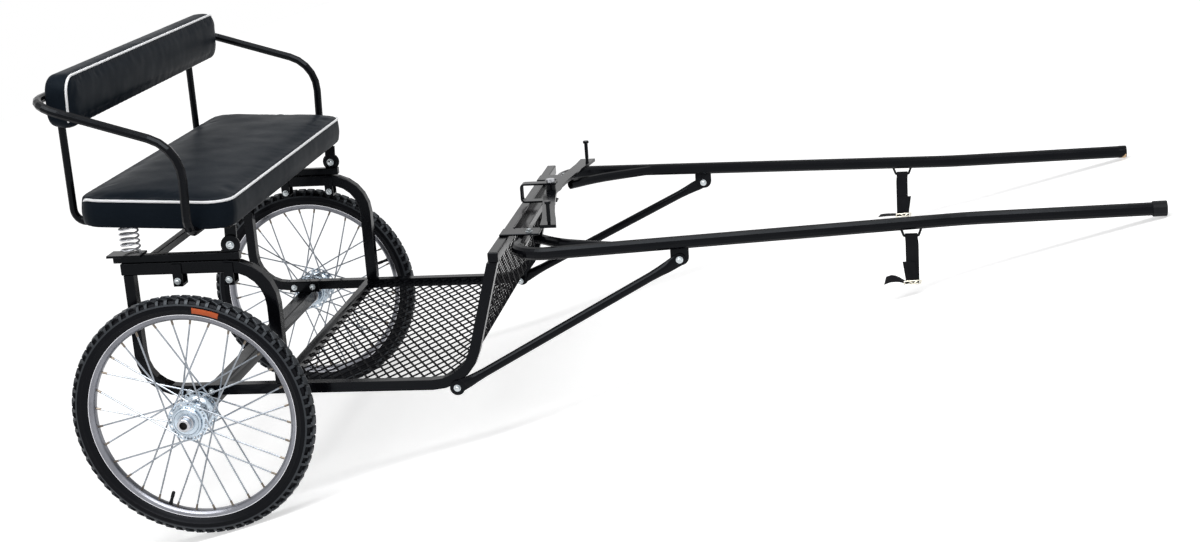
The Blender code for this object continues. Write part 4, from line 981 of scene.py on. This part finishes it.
def bolt_master(head, washer):
    """Washer, six-sided head and dome, standing on z = 0."""
    ring = cylinder(28, washer, 0.0016, (0, 0, 0.0008))
    bevelled(ring, lambda e: middle(e).z > 0.0014, 0.0004, 2)
    cap = cylinder(6, head, 0.0055, (0, 0, 0.0043))
    bevelled(cap, lambda e: middle(e).z > 0.0065, 0.0014, 3)
    fresh()
    bpy.ops.mesh.primitive_uv_sphere_add(segments=20, ring_count=10, radius=head * 0.86, location=(0, 0, 0.0060))
    dome = bpy.context.object
    dome.scale = (1, 1, 0.42)
    settled(dome)
    pick(dome, "faces", lambda f: f.calc_center_median().z < 0.0058)
    bpy.ops.mesh.delete(type="FACE")
    pick(dome, "edges", lambda e: e.is_boundary)
    bpy.ops.mesh.edge_face_add()
    whole = join([ring, cap, dome])
    settled(whole)
    return whole


def facing(spot, toward, spin=0.0):
    """A matrix that stands a piece on a level spot, pointing some way."""
    aimed = Vector(toward).to_track_quat("Z", "Y").to_matrix().to_4x4()
    return Matrix.Translation(spot) @ aimed @ Matrix.Rotation(spin, 4, "Z")


big, small = bolt_master(0.0080, 0.0100), bolt_master(0.0066, 0.0086)
strut_y = SHAFT_OUT - SHAFT_IN * (HIGH_BOLT[0] - SHAFT_X) / SHAFT_BEND
places = [(small, LOW_BOLT, 0.4799, 1), (small, HIGH_BOLT, strut_y + 0.0093, 1), (big, HINGE_AT, 0.4661, 1),
          (big, HINGE_AT, 0.4536, -1), (small, LOW_BOLT, 0.4478, -1), (small, HIGH_BOLT, strut_y - 0.0031, -1),
          (small, (0.815, 0.6737), 0.305, 0)]
for x in (0.106, -0.023):
    places += [(small, (x, 0.624), 0.4773, 1), (small, (x, 0.624), 0.4395, -1)]
for x in (-0.030, 0.025):
    places += [(small, (x, 0.339), 0.4423, -1), (small, (x, 0.339), 0.4735, 1)]
bolts = []
for sign in (-1, 1):
    for master, (x, z), y, out in places:
        toward = (0, sign * out, 0) if out else (0, 0, 1)
        bolts.append(twin(master, facing((x, sign * y, z), toward, len(bolts) * 0.7)))
set_down(join(bolts), "plated_bolts", "bolt_zinc", angle=30)
for master in (big, small):
    bpy.data.objects.remove(master)

# %% [markdown]
# Each strut is a tube with its ends pressed flat. It grows from a circle that is drawn
# out step by step and pressed at both ends, bolted between a round ear and a wide lug.
# The two trace pins of the singletree are headed rods, turned the same way as by a lathe.

# %% Struts, ears, lugs and trace pins
PLATE_HALF = 0.0032


def plate(spot, reach, y, spread=0.0, neck=0.0):
    """A round plate square to y; with a neck it runs straight up from the circle."""
    flat = []
    for a in range(180, 361 if neck else 540, 15):
        shift, turn = spread if a > 270 else -spread, math.radians(a)
        flat.append((spot[0] + shift + reach * math.cos(turn), spot[1] + reach * math.sin(turn)))
    if neck:
        flat += [(spot[0] + spread + reach, spot[1] + neck), (spot[0] - spread - reach, spot[1] + neck)]
    obj = drawn([(a, y - PLATE_HALF, b) for a, b in flat])
    opened(obj)
    bpy.ops.mesh.edge_face_add()
    bpy.ops.mesh.extrude_region_move(TRANSFORM_OT_translate={"value": (0, 2 * PLATE_HALF, 0)})
    closed()
    modified(obj, "edge", "BEVEL", width=0.0008, segments=2, limit_method="ANGLE")
    apply_all(obj)
    return obj


def pressed_tube(y0, y1, sign):
    """A tube from bolt to bolt: its local z is the strut's run, its local x is across the cart."""
    run = math.dist(LOW_BOLT, HIGH_BOLT)
    ends = [(0.0, 0.0, 0.0033, 0.0150), (0.018, 0.0, 0.0033, 0.0150), (0.034, 0.0035, 0.0106, 0.0140),
            (0.052, 0.0035, 0.0110, 0.0125), (0.078, 0.0035, 0.0112, 0.0112)]
    steps = [(z, y0 + (y1 - y0) * z / run + sign * off, w, h) for z, off, w, h in ends]
    steps += [(run - z, y1 + (y0 - y1) * z / run + sign * off, w, h) for z, off, w, h in reversed(ends)]
    fresh()
    bpy.ops.mesh.primitive_circle_add(vertices=24, radius=1.0, fill_type="NGON")
    tube = bpy.context.object
    opened(tube)
    bpy.ops.transform.resize(value=(steps[0][2], steps[0][3], 1))
    bpy.ops.transform.translate(value=(steps[0][1], 0, 0))
    for (z0, x0, w0, h0), (z1, x1, w1, h1) in zip(steps, steps[1:]):
        bpy.ops.mesh.extrude_region_move(TRANSFORM_OT_translate={"value": (x1 - x0, 0, z1 - z0)})
        bpy.ops.transform.resize(value=(w1 / w0, h1 / h0, 1), center_override=(x1, 0, z1))
    closed()
    c, t = (HIGH_BOLT[0] - LOW_BOLT[0]) / run, (HIGH_BOLT[1] - LOW_BOLT[1]) / run
    tube.data.transform(Matrix(((0, -t, c, LOW_BOLT[0]), (1, 0, 0, 0), (0, c, t, LOW_BOLT[1]), (0, 0, 0, 1))))
    return tube


for side, sign in SIDES:
    low_y, high_y = sign * 0.4769, sign * (strut_y + 0.0063)
    tube = pressed_tube(low_y, high_y, sign)
    set_down(join([tube, plate(HIGH_BOLT, 0.0150, high_y)]), "strut_tube_" + side, "powder_coat")
    low = plate(LOW_BOLT, 0.0185, low_y)
    lug = plate((HIGH_BOLT[0], HIGH_BOLT[1] + 0.0045), 0.0200, sign * strut_y, 0.0020, 0.030)
    set_down(join([low, lug]), "strut_ears_" + side, "powder_coat")
    set_down(plate(HINGE_AT, 0.0240, sign * 0.4630), "hinge_ear_" + side, "powder_coat")


def levelled(name):
    """A node's points in the level layout."""
    return [PARK.inverted() @ v.co for v in NODES[name].data.vertices]


def box_middle(points):
    return Vector([(min(p[k] for p in points) + max(p[k] for p in points)) / 2 for k in range(3)])


level = levelled("singletree")
pin_top = max(p.z for p in level)
pins = []
for sign in (-1, 1):
    spot = box_middle([p for p in level if p.z > pin_top - 0.002 and p.y * sign > 0])
    pin = turned([(0.0, -0.049), (0.0050, -0.049), (0.0050, -0.0070), (0.0078, -0.0062), (0.0082, -0.0050),
                  (0.0082, -0.0010), (0.0072, 0.0004), (0.0, 0.0006)], 16)
    pin.data.transform(Matrix.Translation((spot.x, spot.y, pin_top)))
    pins.append(pin)
set_down(join(pins), "trace_pins", "powder_coat", "singletree")

# %% [markdown]
# A coil spring stands under each rear corner of the seat, its end coils lying flat.
# The wire's line is drawn turn by turn and given its thickness as a curve.

# %% Seat springs
SPRING_X, SPRING_Y, SPRING_R = -0.137, 0.46, 0.0225
SPRING_LOW, SPRING_TOP, TURNS, FLAT_TURN = 0.6958, 0.7636, 5.2, 0.5
TURN_STEPS, WIRE_R = 24, 0.0025

for side, sign in SIDES:
    line, steps = [], round(TURNS * TURN_STEPS)
    for k in range(steps + 1):
        t = k / steps
        lie = min(t, 1 - t) * TURNS
        height = SPRING_LOW + (SPRING_TOP - SPRING_LOW) * t
        if lie < FLAT_TURN:
            end = SPRING_LOW if t < 0.5 else SPRING_TOP
            height = end + (height - end) * lie / FLAT_TURN
        a = 2 * math.pi * TURNS * t
        line.append((SPRING_X + SPRING_R * math.cos(a), sign * SPRING_Y + SPRING_R * math.sin(a), height))
    wire = thickened(drawn(line), WIRE_R, 2, caps=True)
    set_down(wire, "coil_" + side, "bright_steel", angle=60)
    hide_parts("seat_spring_" + side)

# %% [markdown]
# A tug strap of flat black webbing hangs from a staple under each shaft: two layers,
# a plated buckle at the foot, a loop under it and a loose tail to the rear.

# %% Tug straps
LOOP_X, LOOP_Y, FOOT_Z, BEND = 1.733, 0.3295, 0.5250, 0.0052
SHAFT_Z, SHAFT_RISE = 0.6520, 0.0280 / 1.528
STAPLE_Z = SHAFT_Z + SHAFT_RISE * (LOOP_X - SHAFT_X) - 0.031  # the staple hangs under the shaft


def ribbon(middles, across, width, thick):
    """Flat webbing: two drawn edges bridged and given a thickness."""
    sides = []
    for half in (-0.5, 0.5):
        sides.append(drawn([Vector(p) + Vector(w).normalized() * width * half for p, w in zip(middles, across)]))
    band = join(sides)
    opened(band)
    bpy.ops.mesh.bridge_edge_loops()
    closed()
    gauged(band, thick)
    modified(band, "edge", "BEVEL", width=thick * 0.3, segments=1)
    apply_all(band)
    return band


def arc_points(centre, reach, first, last, count):
    """Points of an arc as seen along x, angles from +y towards +z."""
    out = []
    for k in range(count + 1):
        a = math.radians(first + (last - first) * k / count)
        out.append(Vector(centre) + Vector((0, math.cos(a), math.sin(a))) * reach)
    return out


def webbing(y, flap, curl):
    """Two hanging layers, the doubled end above the buckle, the loop under it and the loose tail."""
    drop = STAPLE_Z - FOOT_Z
    hang = arc_points((LOOP_X, y, STAPLE_Z), BEND, 180, 0, 8)
    front = [Vector((LOOP_X - 0.002 * flap, y - 0.0050, FOOT_Z + drop * k / 6)) for k in range(6)]
    back = [Vector((LOOP_X - 0.001 * flap, y + 0.0050, STAPLE_Z - drop * k / 6)) for k in range(1, 7)]
    outline = front + hang + back
    body = ribbon(outline, [(1, 0, 0)] * len(outline), 0.0295, 0.0022)
    leaf = [Vector((LOOP_X + flap * (0.0075 - 0.0015 * k), y - 0.0074 + 0.0006 * k, FOOT_Z + 0.052 - 0.0104 * k))
            for k in range(6)]
    doubled = ribbon(leaf, [(1, 0, 0.04 * flap)] * 6, 0.0290, 0.0020)
    under = ribbon(arc_points((LOOP_X, y, FOOT_Z), BEND, 180, 360, 8), [(1, 0, 0)] * 9, 0.0320, 0.0022)
    tail_line = [(-0.010, 0.003, -0.003), (-0.020, 0.002, 0.001), (-0.030, 0.001, 0.006), (-0.040, -0.001, 0.009),
                 (-0.050, -0.003, 0.010), (-0.058, -0.005, 0.008), (-0.064, -0.006, 0.006)]
    tail_turn = [(0, 1, 0), (0, 1, 0.05), (0, 1, 0.25), (0.1, 1, 0.5), (0.2, 1, 0.75), (0.3, 1, 0.9), (0.35, 1, 1)]
    tail = ribbon([Vector((LOOP_X, y, FOOT_Z)) + Vector((a, b, c * curl)) for a, b, c in tail_line],
                  [Vector((a, b, c * curl)) for a, b, c in tail_turn], 0.0225, 0.0018)
    return join([body, doubled, under, tail])


def buckle(y):
    """A wire frame of four bars, and two bars of the tongue across it."""
    centre = Vector((LOOP_X, y - 0.0072, FOOT_Z + 0.001))
    corners = [(-0.0195, 0, -0.0052), (0.0195, 0, -0.0030), (0.0205, -0.002, 0.0050), (-0.0185, -0.002, 0.0030)]
    bars = [(a, b, 0.0016) for a, b in zip(corners, corners[1:] + corners[:1])]
    bars += [((-0.011, -0.001, 0.0042), (0.004, -0.003, -0.0035), 0.0017),
             ((0.003, -0.003, -0.0030), (0.0115, -0.002, 0.0040), 0.0017)]
    made = []
    for a, b, radius in bars:
        made.append(rod_between(centre + Vector(a), centre + Vector(b), radius, 10, extra=radius))
        bevelled(made[-1], lambda e: abs(way(e).z) < 0.1, 0.0005, 2)
    return join(made)


for (side, sign), flap, curl in zip(SIDES, (-1, 1), (1.0, 0.1)):
    cloth = webbing(sign * LOOP_Y, flap, curl)
    set_down(cloth, "tug_webbing_" + side, "strap_webbing", angle=40)
    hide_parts("tug_strap_" + side)
    set_down(buckle(sign * LOOP_Y), "buckle_" + side, "buckle_plate", angle=40)

# %% [markdown]
# The left shaft has lost its end cap: its rim is bevelled black paint, with one
# corner rubbed down to a pale, rusty-edged patch. One short sleeve carries both
# finishes, face by face.

# %% Worn shaft end
WORN_R, WORN_LONG, WORN_BEVEL = 0.0163, 0.020, 0.0034
level = levelled("shaft_left")
front = max(p.x for p in level)
tip = box_middle([p for p in level if p.x > front - 0.002])
worn = cylinder(32, WORN_R, WORN_LONG, (0, 0, -0.0098))
settled(worn)
pick(worn, "edges", lambda e: middle(e).z > 0.0001 and e.verts[0].co.xy.length > WORN_R - 0.0005)
bpy.ops.mesh.bevel(offset=WORN_BEVEL, segments=3)
for k in range(1, 8):  # rings round the sleeve, so that the rubbed patch can end between them
    sliced((0, 0, -0.0024 * k), (0, 0, 1))
mode("OBJECT")
worn.data.transform(facing(tip, (1, 0, SHAFT_RISE)))
rubbed = []
for face in worn.data.polygons:
    c = face.center - tip
    lean = abs(math.degrees(math.atan2(c.y + 0.3 * c.z, -c.z)) + 28)
    if c.yz.length > 0.004 and -c.x < 0.0185 * (1 - lean / 62):
        rubbed.append(face.index)
set_down(worn, "worn_shaft_end", "powder_coat")
repaint(worn, "bare_worn", rubbed)
print("shaft tip", [round(k, 4) for k in tip], "rubbed faces", len(rubbed))
